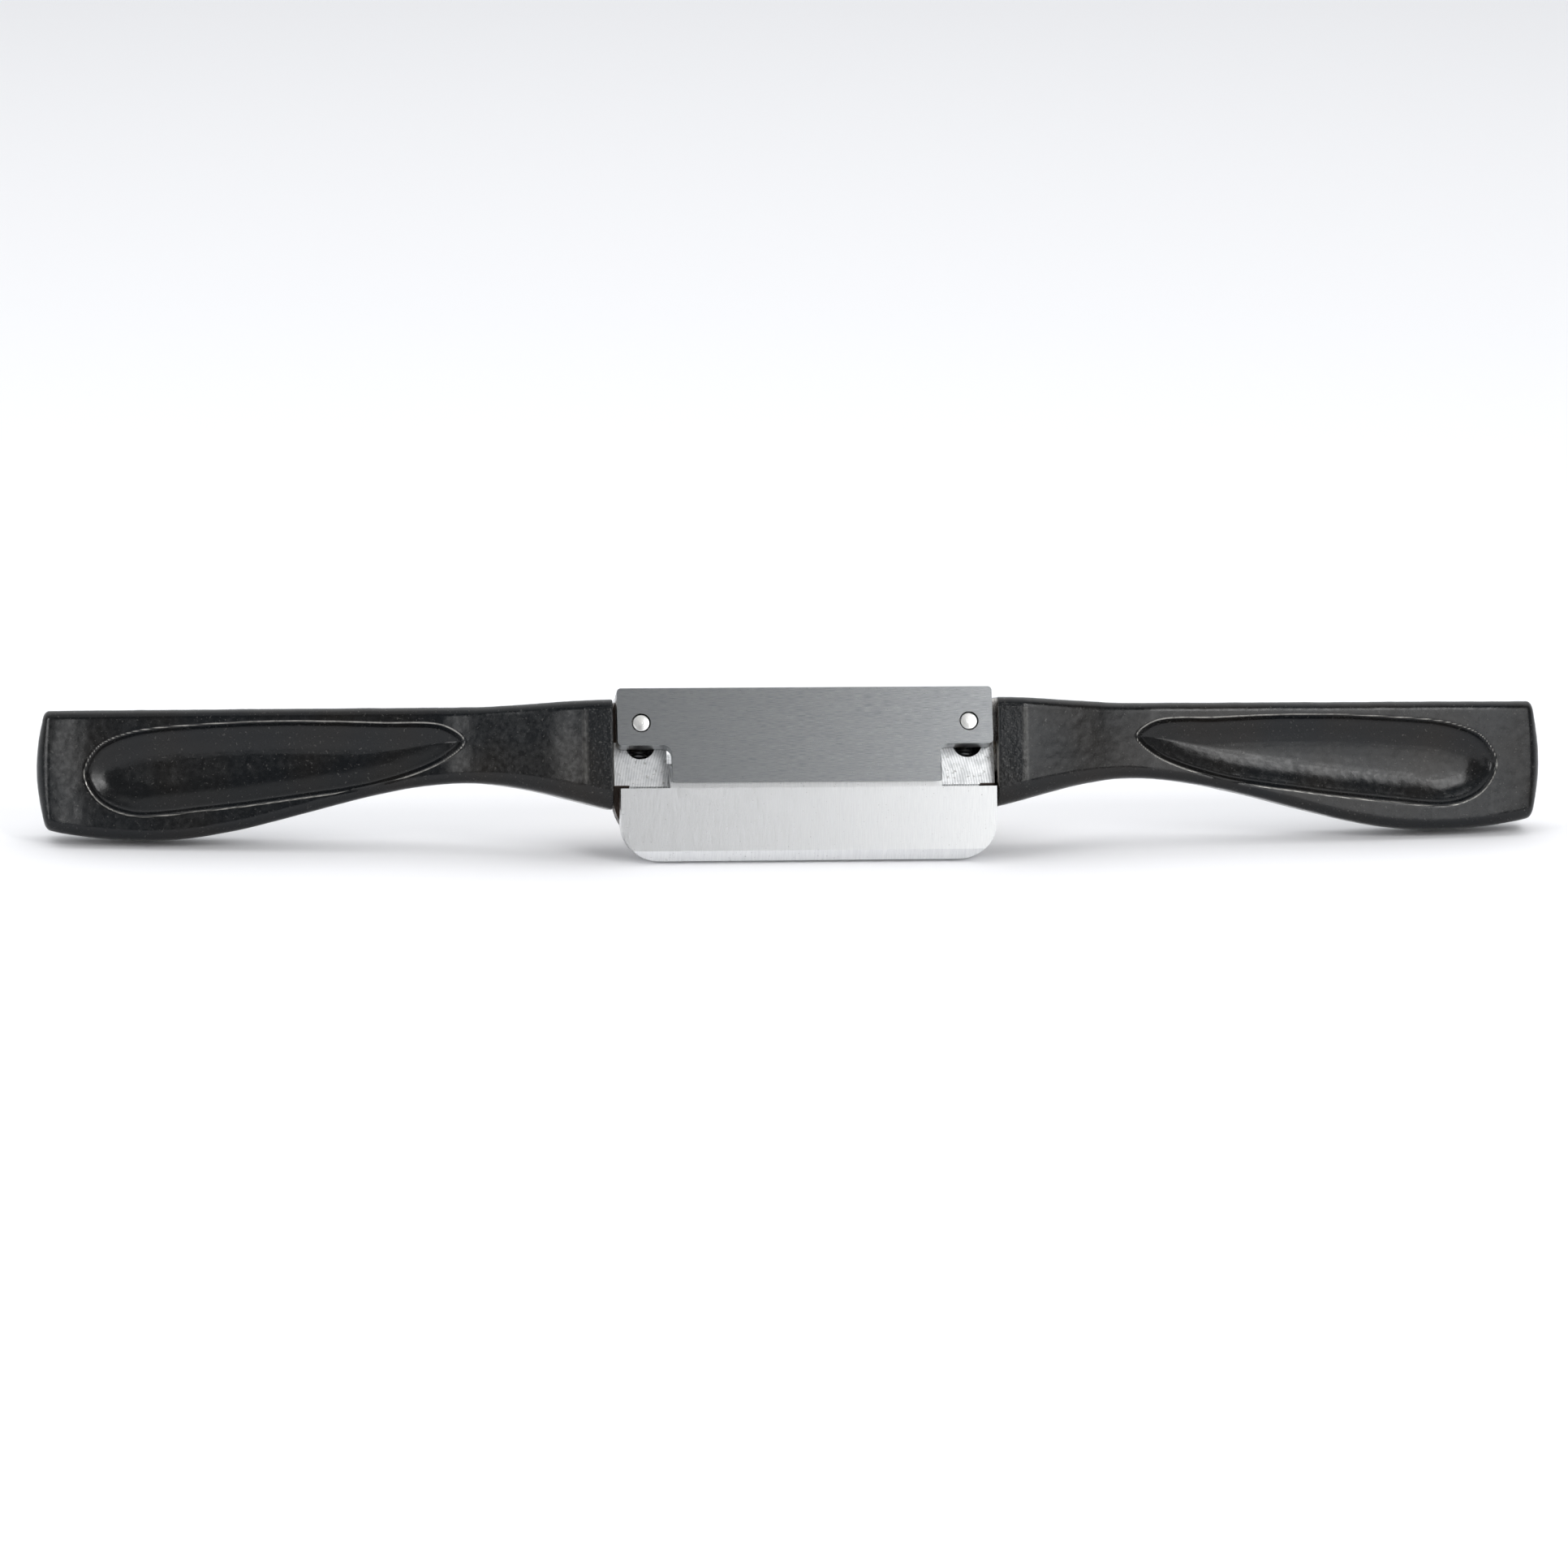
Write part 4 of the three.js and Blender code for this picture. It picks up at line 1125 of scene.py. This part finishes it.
@dataclass
class Handle:
    """One cast handle: a flat root strip, a neck that sweeps back, and a grip with a finger recess."""

    places: Places
    finishes: Finishes
    side: Side
    root_top: float = 26.5
    root_bottom: float = 8.4
    setback: float = 1.0
    root_thickness: float = 13.2
    strip: float = 4.5
    neck_x: float = 55.0
    neck_top: float = 25.5
    neck_bottom: float = 12.95
    root_belly: float = 0.8
    grip_inset: float = 19.0
    grip_bottom: float = 4.0
    end_bottom: float = 6.2
    grip_thickness: float = 10.0
    sweep_end: float = 60.0
    sweep_depth: float = 8.0
    sweep_slope: float = 0.1
    sweep_crease: float = 0.5
    front_edge: float = 1.6
    grip_lower_edge: float = 1.9
    root_lower_edge: float = 3.2
    back_edge: float = 4.2
    root_back_edge: float = 1.4
    end_radius: float = 2.0
    end_sag: float = 1.0
    end_sag_run: float = 4.0
    recess_inset: float = 7.8
    recess_tip: float = 55.5
    recess_depth: float = 2.1
    end_roll: float = 0.8
    end_roll_run: float = 9.0
    step: float = 0.34
    face_steps: int = 64
    corner_steps: int = 7
    runs: tuple[int, int, int] = (9, 22, 9)  # steps over the top, down the back and under
    lead: float = 0.25
    waviness: float = 0.05
    wave: float = 5.0
    ripple: float = 1.3
    ripple_share: float = 0.4
    seed_stride: float = 13.0  # how far apart the two handles' unevenness is drawn
    lug_top: float = 14.6
    lug_bottom: float = 9.4
    lug_thickness: float = 3.3
    lug_length: float = 14.6
    lug_reach: float = 2.0
    lug_hole: float = 3.6
    screw_head: float = 2.0
    washer_gap: float = 0.3

    def __post_init__(self) -> None:
        """Reads the two ends of the handle from the frame."""
        root = span("centre_block", self.places.tool)[1].x
        self.root_x = root + 0.3
        self.end_x = span("right_handle", self.places.tool)[1].x
        self.outline = self.recess_outline()

    def smooth(self, t: float) -> float:
        """A smooth step from 0 to 1."""
        t = min(max(t, 0.0), 1.0)
        return t * t * (3 - 2 * t)

    def lower(self, x: float) -> float:
        """The height of the lower edge at x."""
        grip_x = self.end_x - self.grip_inset
        if x < self.neck_x:
            t = (self.neck_x - x) / (self.neck_x - self.root_x)
            share = t ** 2 * (1 + self.root_belly * (1 - t))
            return self.neck_bottom - (self.neck_bottom - self.root_bottom) * share
        if x < grip_x:
            share = self.smooth((x - self.neck_x) / (grip_x - self.neck_x))
            return self.neck_bottom - (self.neck_bottom - self.grip_bottom) * share
        rise = self.end_bottom - self.grip_bottom
        return self.grip_bottom + rise * ((x - grip_x) / self.grip_inset) ** 2

    def upper(self, x: float) -> float:
        """The height of the upper edge at x."""
        share = self.smooth((x - self.root_x) / (self.neck_x - self.root_x))
        return self.root_top - (self.root_top - self.neck_top) * share

    def sweep(self, x: float) -> float:
        """How much of the sweep is done at x, from 0 to 1."""
        t = min(max((x - self.root_x - self.strip) / (self.sweep_end - self.root_x - self.strip), 0), 1)
        return self.smooth(t) * (1 - self.sweep_crease) + t * (2 - t) * self.sweep_crease

    def line(self, x: float) -> float:
        """The depth of the straight grip's front at x."""
        return self.sweep_depth + self.sweep_slope * (x - self.neck_x)

    def front(self, x: float) -> float:
        """The depth of the front face at x, with a slight roll back at the end."""
        roll = self.end_roll * max(0.0, 1 - (self.end_x - x) / self.end_roll_run) ** 2
        return self.setback + (self.line(x) - self.setback) * self.sweep(x) + roll

    def back(self, x: float) -> float:
        """The depth of the back face at x."""
        root = self.setback + self.root_thickness
        return root + (self.line(x) + self.grip_thickness - root) * self.sweep(x)

    def recess_outline(self) -> np.ndarray:
        """Draws the recess's rim: a teardrop with its wide end outward.

        Returns:
            Points as x and z, going round once.
        """
        wide = self.end_x - self.recess_inset
        length = wide - self.recess_tip
        shares = [
            (0, 15), (0.035, 19.3), (0.12, 21.7), (0.32, 23), (0.55, 23.4), (0.78, 23), (0.95, 22.4),
            (1, 19.9), (0.95, 16.8), (0.78, 12.9), (0.55, 10.6), (0.32, 8.9), (0.12, 8.2), (0.035, 10.7)]
        knots = [np.array((wide - share * length, z)) for share, z in shares]
        count, steps = len(knots), 24
        points = []
        for i in range(count):
            p = [knots[(i + k - 1) % count] for k in range(4)]
            t = [0.0]
            for k in range(3):
                t.append(t[-1] + np.linalg.norm(p[k + 1] - p[k]) ** 0.5)
            for s in range(steps):
                u = t[1] + (t[2] - t[1]) * s / steps
                a = [((t[k + 1] - u) * p[k] + (u - t[k]) * p[k + 1]) / (t[k + 1] - t[k]) for k in range(3)]
                b = [((t[k + 2] - u) * a[k] + (u - t[k]) * a[k + 1]) / (t[k + 2] - t[k]) for k in range(2)]
                points.append(((t[2] - u) * b[0] + (u - t[1]) * b[1]) / (t[2] - t[1]))
        return np.array(points)

    def inside(self, points: np.ndarray) -> np.ndarray:
        """Measures how far points are inside the recess's rim.

        Args:
            points: points as x and z.

        Returns:
            The distance to the rim, below 0 outside it.
        """
        starts, ends = self.outline, np.roll(self.outline, -1, axis=0)
        along = ends - starts
        best = np.full(len(points), np.inf)
        crossings = np.zeros(len(points), int)
        for start, end, step in zip(starts, ends, along):
            share = np.clip((points - start) @ step / (step @ step), 0, 1)
            best = np.minimum(best, np.linalg.norm(points - start - share[:, None] * step, axis=1))
            spans = (start[1] > points[:, 1]) != (end[1] > points[:, 1])
            if start[1] != end[1]:
                at = start[0] + (points[:, 1] - start[1]) * step[0] / step[1]
                crossings += spans & (points[:, 0] < at)
        return np.where(crossings % 2 == 1, best, -best)

    def sunk(self, inset: np.ndarray) -> np.ndarray:
        """The recess's depth: a rounded rim, a steep wall, a soft ledge and a flat floor."""
        steps = [-0.15, 0.0, 0.2, 0.8, 1.1, 1.5, 2.0, 2.6, 3.1, 3.6, 4.4, 5.4, 6.6]
        shares = [0.0, 0.01, 0.07, 0.44, 0.53, 0.6, 0.7, 0.83, 0.92, 0.99, 1.08, 1.15, 1.18]
        return np.interp(inset, steps, shares) * self.recess_depth

    def ring(self, x: float, inset: float) -> list[tuple[float, float, float]]:
        """Draws one cross-section with rounded edges.

        Args:
            x: where it is.
            inset: how far it is drawn in all round.

        Returns:
            Its points, from the front's lower end up, over the back and round.
        """
        y0, y1 = self.front(x) + inset, self.back(x) - inset
        z0, z1 = self.lower(x) + inset, self.upper(x) - inset
        limit = 0.45 * min(y1 - y0, z1 - z0)
        edges = ((self.front_edge, self.front_edge), (self.root_back_edge, self.back_edge),
                 (self.root_lower_edge, self.grip_lower_edge))
        upper, back, lower = (min(max(a + (b - a) * self.sweep(x) - inset, 0.4), limit) for a, b in edges)
        corners = [(y0 + upper, z1 - upper, upper, 180, 90), (y1 - back, z1 - back, back, 90, 0),
                   (y1 - back, z0 + back, back, 0, -90), (y0 + lower, z0 + lower, lower, 270, 180)]
        section = [(y0, z0 + lower + (z1 - z0 - lower - upper) * i / self.face_steps)
                   for i in range(self.face_steps)]
        for index, (y, z, radius, first, last) in enumerate(corners):
            arc = []
            for i in range(self.corner_steps + 1):
                angle = math.radians(first + (last - first) * i / self.corner_steps)
                arc.append((y + radius * math.cos(angle), z + radius * math.sin(angle)))
            section += arc
            if index == 3:
                section.pop()
                break
            y, z, radius, first, _ = corners[index + 1]
            angle = math.radians(first)
            target = (y + radius * math.cos(angle), z + radius * math.sin(angle))
            for i in range(1, self.runs[index]):
                share = i / self.runs[index]
                section.append(tuple(a + (b - a) * share for a, b in zip(arc[-1], target)))
        sag = self.end_sag * max(0.0, 1 - (self.end_x - x) / self.end_sag_run) ** 2
        middle, half = (z0 + z1) / 2, (z1 - z0) / 2
        return [(x - sag * ((z - middle) / half) ** 2, y, z) for y, z in section]

    def stations(self) -> list[tuple[float, float]]:
        """The places of the cross-sections, with how far each is drawn in.

        Returns:
            Pairs of x and inset, from the root out.
        """
        lead = self.lead
        turns = [math.radians(90 - 90 * i / 4) for i in range(5)]
        start = [(self.root_x + lead * (1 - math.sin(a)), lead * (1 - math.cos(a))) for a in turns]
        first, last = self.root_x + lead, self.end_x - self.end_radius
        count = round((last - first) / self.step)
        middle = [(first + (last - first) * i / count, 0.0) for i in range(1, count)]
        turns = [math.radians(90 * i / 8) for i in range(9)]
        end = [(last + self.end_radius * math.sin(a), self.end_radius * (1 - math.cos(a))) for a in turns]
        return start + middle + end

    def casting(self) -> bpy.types.Object:
        """Builds the handle's casting, with what its finish needs to know kept as attributes.

        Returns:
            The casting, in the tool's frame.
        """
        points = np.array([self.ring(x, inset) for x, inset in self.stations()])
        count, around = points.shape[:2]
        flat = points.reshape(-1, 3)
        on_face = np.tile(np.arange(around) <= self.face_steps, count)
        inset = np.full(len(flat), -99.0)
        inset[on_face] = self.inside(flat[on_face][:, [0, 2]])
        flat[:, 1] += np.where(on_face, self.sunk(inset), 0)
        crease = self.root_x + self.strip
        to_crease = np.where(on_face, np.abs(flat[:, 0] - crease), 99.0)
        in_strip = on_face & (flat[:, 0] < crease)
        flat[:, 0] *= self.side.value
        shape = bmesh.new()
        verts = [shape.verts.new(p) for p in flat]
        for i in range(count - 1):
            for j in range(around):
                k = (j + 1) % around
                shape.faces.new([verts[i * around + j], verts[i * around + k], verts[(i + 1) * around + k],
                                 verts[(i + 1) * around + j]])
        for start in (0, (count - 1) * around):
            loop = verts[start:start + around]
            middle = shape.verts.new(sum((v.co for v in loop), Vector()) / around)
            for j in range(around):
                shape.faces.new([loop[j], loop[(j + 1) % around], middle])
        bmesh.ops.recalc_face_normals(shape, faces=shape.faces)
        piece = object_of(f"{self.side.word}_grip", shape)
        mesh = piece.data
        extra = len(mesh.vertices) - len(flat)
        bare = np.zeros(len(mesh.vertices))
        bare[:around] = 1
        bare[len(flat)] = 1
        facts = {
            "rim": np.append(np.abs(inset), [99.0] * extra),
            "ridge": np.append(to_crease, [99.0] * extra),
            "strip": np.append(in_strip.astype(float), [0.0] * extra),
            "bare": bare,
        }
        for key, values in facts.items():
            mesh.attributes.new(key, "FLOAT", "POINT").data.foreach_set("value", values.astype(np.float32))
        self.roughen(mesh, around * 2)
        return piece

    def roughen(self, mesh: bpy.types.Mesh, skip: int) -> None:
        """Gives the casting its slight unevenness.

        Args:
            mesh: the casting.
            skip: how many points at the root stay flat.
        """
        shift = Vector((SEED * self.side.value * self.seed_stride, 0, 0))
        normals = [v.normal.copy() for v in mesh.vertices]
        for index, vertex in enumerate(mesh.vertices):
            if index < skip or index >= len(mesh.vertices) - 2:
                continue
            at = vertex.co + shift
            wave = noise.noise(at / self.wave) + self.ripple_share * noise.noise(at / self.ripple)
            vertex.co -= normals[index] * (self.waviness * (1 + wave))

    def lug(self) -> bpy.types.Object:
        """Builds the lug that laps behind the block.

        Returns:
            The lug, with its two screw holes.
        """
        word = self.side.word
        screws = [Seat.of(f"{word}_handle_screw_{which}", self.places.tool) for which in ("inner", "outer")]
        seat = screws[0].y + screws[0].length - self.screw_head - self.washer_gap
        ends = sorted(self.side.value * (self.root_x + x) for x in (-self.lug_length, self.lug_reach))
        low = Vector((ends[0], seat - self.lug_thickness, self.lug_bottom))
        piece = object_of("lug", block_shape(low, Vector((ends[1], seat, self.lug_top))))
        for screw in screws:
            drill(piece, screw, self.lug_hole / 2, 5, 25, 40)
        soften(piece, 0.35, 40, 3, blended=False)
        for key, value in (("rim", 99.0), ("ridge", 99.0), ("strip", 0.0), ("bare", 0.0)):
            fact = piece.data.attributes.new(key, "FLOAT", "POINT")
            fact.data.foreach_set("value", np.full(len(piece.data.vertices), value, np.float32))
        return piece

    def build(self) -> None:
        """Builds the handle."""
        piece = self.casting()
        merge_into(piece, self.lug())
        node = f"{self.side.word}_handle"
        hand_over(piece, self.places.tool, "frame", (node,), self.finishes.enamel, 38)


# ---- studio -------------------------------------------------------------------------------------------
@dataclass(frozen=True)
class Panel:
    """A soft light: a plain bright panel."""

    name: str
    place: tuple[float, float, float]
    target: tuple[float, float, float]
    size: tuple[float, float]
    watts: float


@dataclass
class Studio:
    """A white sweep, soft panels and the camera."""

    distance: float = 1.1
    azimuth: float = -6.01
    elevation: float = 13.28
    roll: float = 0.94
    aim: tuple[float, float] = (-0.00257, -0.0030)
    aim_height: float = 0.013
    sensor: float = 36
    focal: float = 153.4
    room_front: float = 0.22
    room_back: float = 1.2
    room_turn: tuple[float, float] = (-0.35, 0.4)  # the way's share backwards where one gives way
    room_tint: tuple[float, float, float, float] = (0.97, 0.985, 1, 1)
    floor_half: float = 4.0
    floor_drop: float = 0.0001
    paper: str = "f4f4f6"
    panels: tuple[Panel, ...] = (
        Panel("top_panel", (-0.1, 0.15, 1.2), (0, 0, 0), (2.4, 1.8), 9.0),
        Panel("front_panel", (0.27, -0.6, 0.15), (0.03, 0, 0.015), (0.24, 0.34), 0.62),
        Panel("upper_right_panel", (0.26, -0.43, 0.389), (0.03, 0, 0.02), (0.2, 0.2), 0.85),
        Panel("left_panel", (-0.9, -0.55, 0.35), (-0.03, 0, 0.02), (0.36, 0.5), 3.0),
        Panel("left_end_panel", (-0.44, -0.8, 0.24), (-0.1, 0, 0.02), (0.14, 0.3), 0.5),
        Panel("right_panel", (0.7, -0.75, 0.4), (0.03, 0, 0.02), (0.5, 0.5), 2.1),
    )

    def floor(self) -> None:
        """Lays the white floor."""
        shape = bmesh.new()
        bmesh.ops.create_grid(shape, x_segments=4, y_segments=4, size=self.floor_half)
        shape.transform(Matrix.Translation((0, 0, -self.floor_drop)))
        floor = object_of("floor", shape)
        paper = bpy.data.materials.new("white_paper")
        paper.use_nodes = True
        feed(paper.node_tree, paper.node_tree.nodes["Principled BSDF"], {
            "Base Color": hex_colour(self.paper), "Roughness": 0.9, "Specular IOR Level": 0.1})
        floor.data.materials.append(paper)

    def light(self) -> None:
        """Sets up the room and its panels."""
        world = bpy.data.worlds.new("white_room")
        bpy.context.scene.world = world
        world.use_nodes = True
        tree = world.node_tree
        tree.nodes.clear()
        seen = add(tree, "ShaderNodeBackground", {"Color": (1, 1, 1, 1), "Strength": 1.0})
        way = add(tree, "ShaderNodeTexCoord").outputs["Generated"]
        depth = add(tree, "ShaderNodeSeparateXYZ", (way,)).outputs["Y"]
        strength = add(tree, "ShaderNodeMapRange", (
            depth, *self.room_turn, self.room_front, self.room_back), interpolation_type="SMOOTHSTEP")
        room = add(tree, "ShaderNodeBackground", {"Color": self.room_tint, "Strength": strength})
        path = add(tree, "ShaderNodeLightPath")
        mix = add(tree, "ShaderNodeMixShader", (path.outputs["Is Camera Ray"], room, seen))
        add(tree, "ShaderNodeOutputWorld", {"Surface": mix})
        for panel in self.panels:
            data = bpy.data.lights.new(panel.name, "AREA")
            data.shape = "RECTANGLE"
            data.size, data.size_y = panel.size
            data.energy = panel.watts
            lamp = bpy.data.objects.new(panel.name, data)
            lamp.location = panel.place
            look = Vector(panel.target) - Vector(panel.place)
            lamp.rotation_euler = look.to_track_quat("-Z", "Y").to_euler()
            lamp.visible_camera = False
            bpy.context.scene.collection.objects.link(lamp)

    def camera(self) -> None:
        """Sets up the camera, level with the tool's sole and a little above it."""
        az, el, roll = (math.radians(a) for a in (self.azimuth, self.elevation, self.roll))
        back = Vector((math.sin(az) * math.cos(el), -math.cos(az) * math.cos(el), math.sin(el)))
        right = Vector((math.cos(az), math.sin(az), 0))
        up = back.cross(right)
        target = right * self.aim[0] + up * self.aim[1] + Vector((0, 0, self.aim_height))
        across = right * math.cos(roll) + up * math.sin(roll)
        above = up * math.cos(roll) - right * math.sin(roll)
        data = bpy.data.cameras.new("camera")
        data.lens = self.focal
        data.sensor_width = self.sensor
        data.clip_start, data.clip_end = 0.01, 50
        camera = bpy.data.objects.new("camera", data)
        turn = Matrix((across, above, back)).transposed().to_4x4()
        camera.matrix_world = Matrix.Translation(target + back * self.distance) @ turn
        bpy.context.scene.collection.objects.link(camera)
        bpy.context.scene.camera = camera

    def build(self) -> None:
        """Sets the stage."""
        self.floor()
        self.light()
        self.camera()
        bpy.context.scene.view_settings.view_transform = "Standard"


def main() -> None:
    """Builds the stage and the tool."""
    logging.basicConfig(level=logging.INFO, format="%(name)s: %(message)s")
    places = Places.from_frame()
    Studio().build()
    finishes = Finishes.build(places)
    Carrier(places, finishes).build()
    IronCarriage(places, finishes).build()
    for side in Side:
        Handle(places, finishes, side).build()


if __name__ == "__main__":
    main()
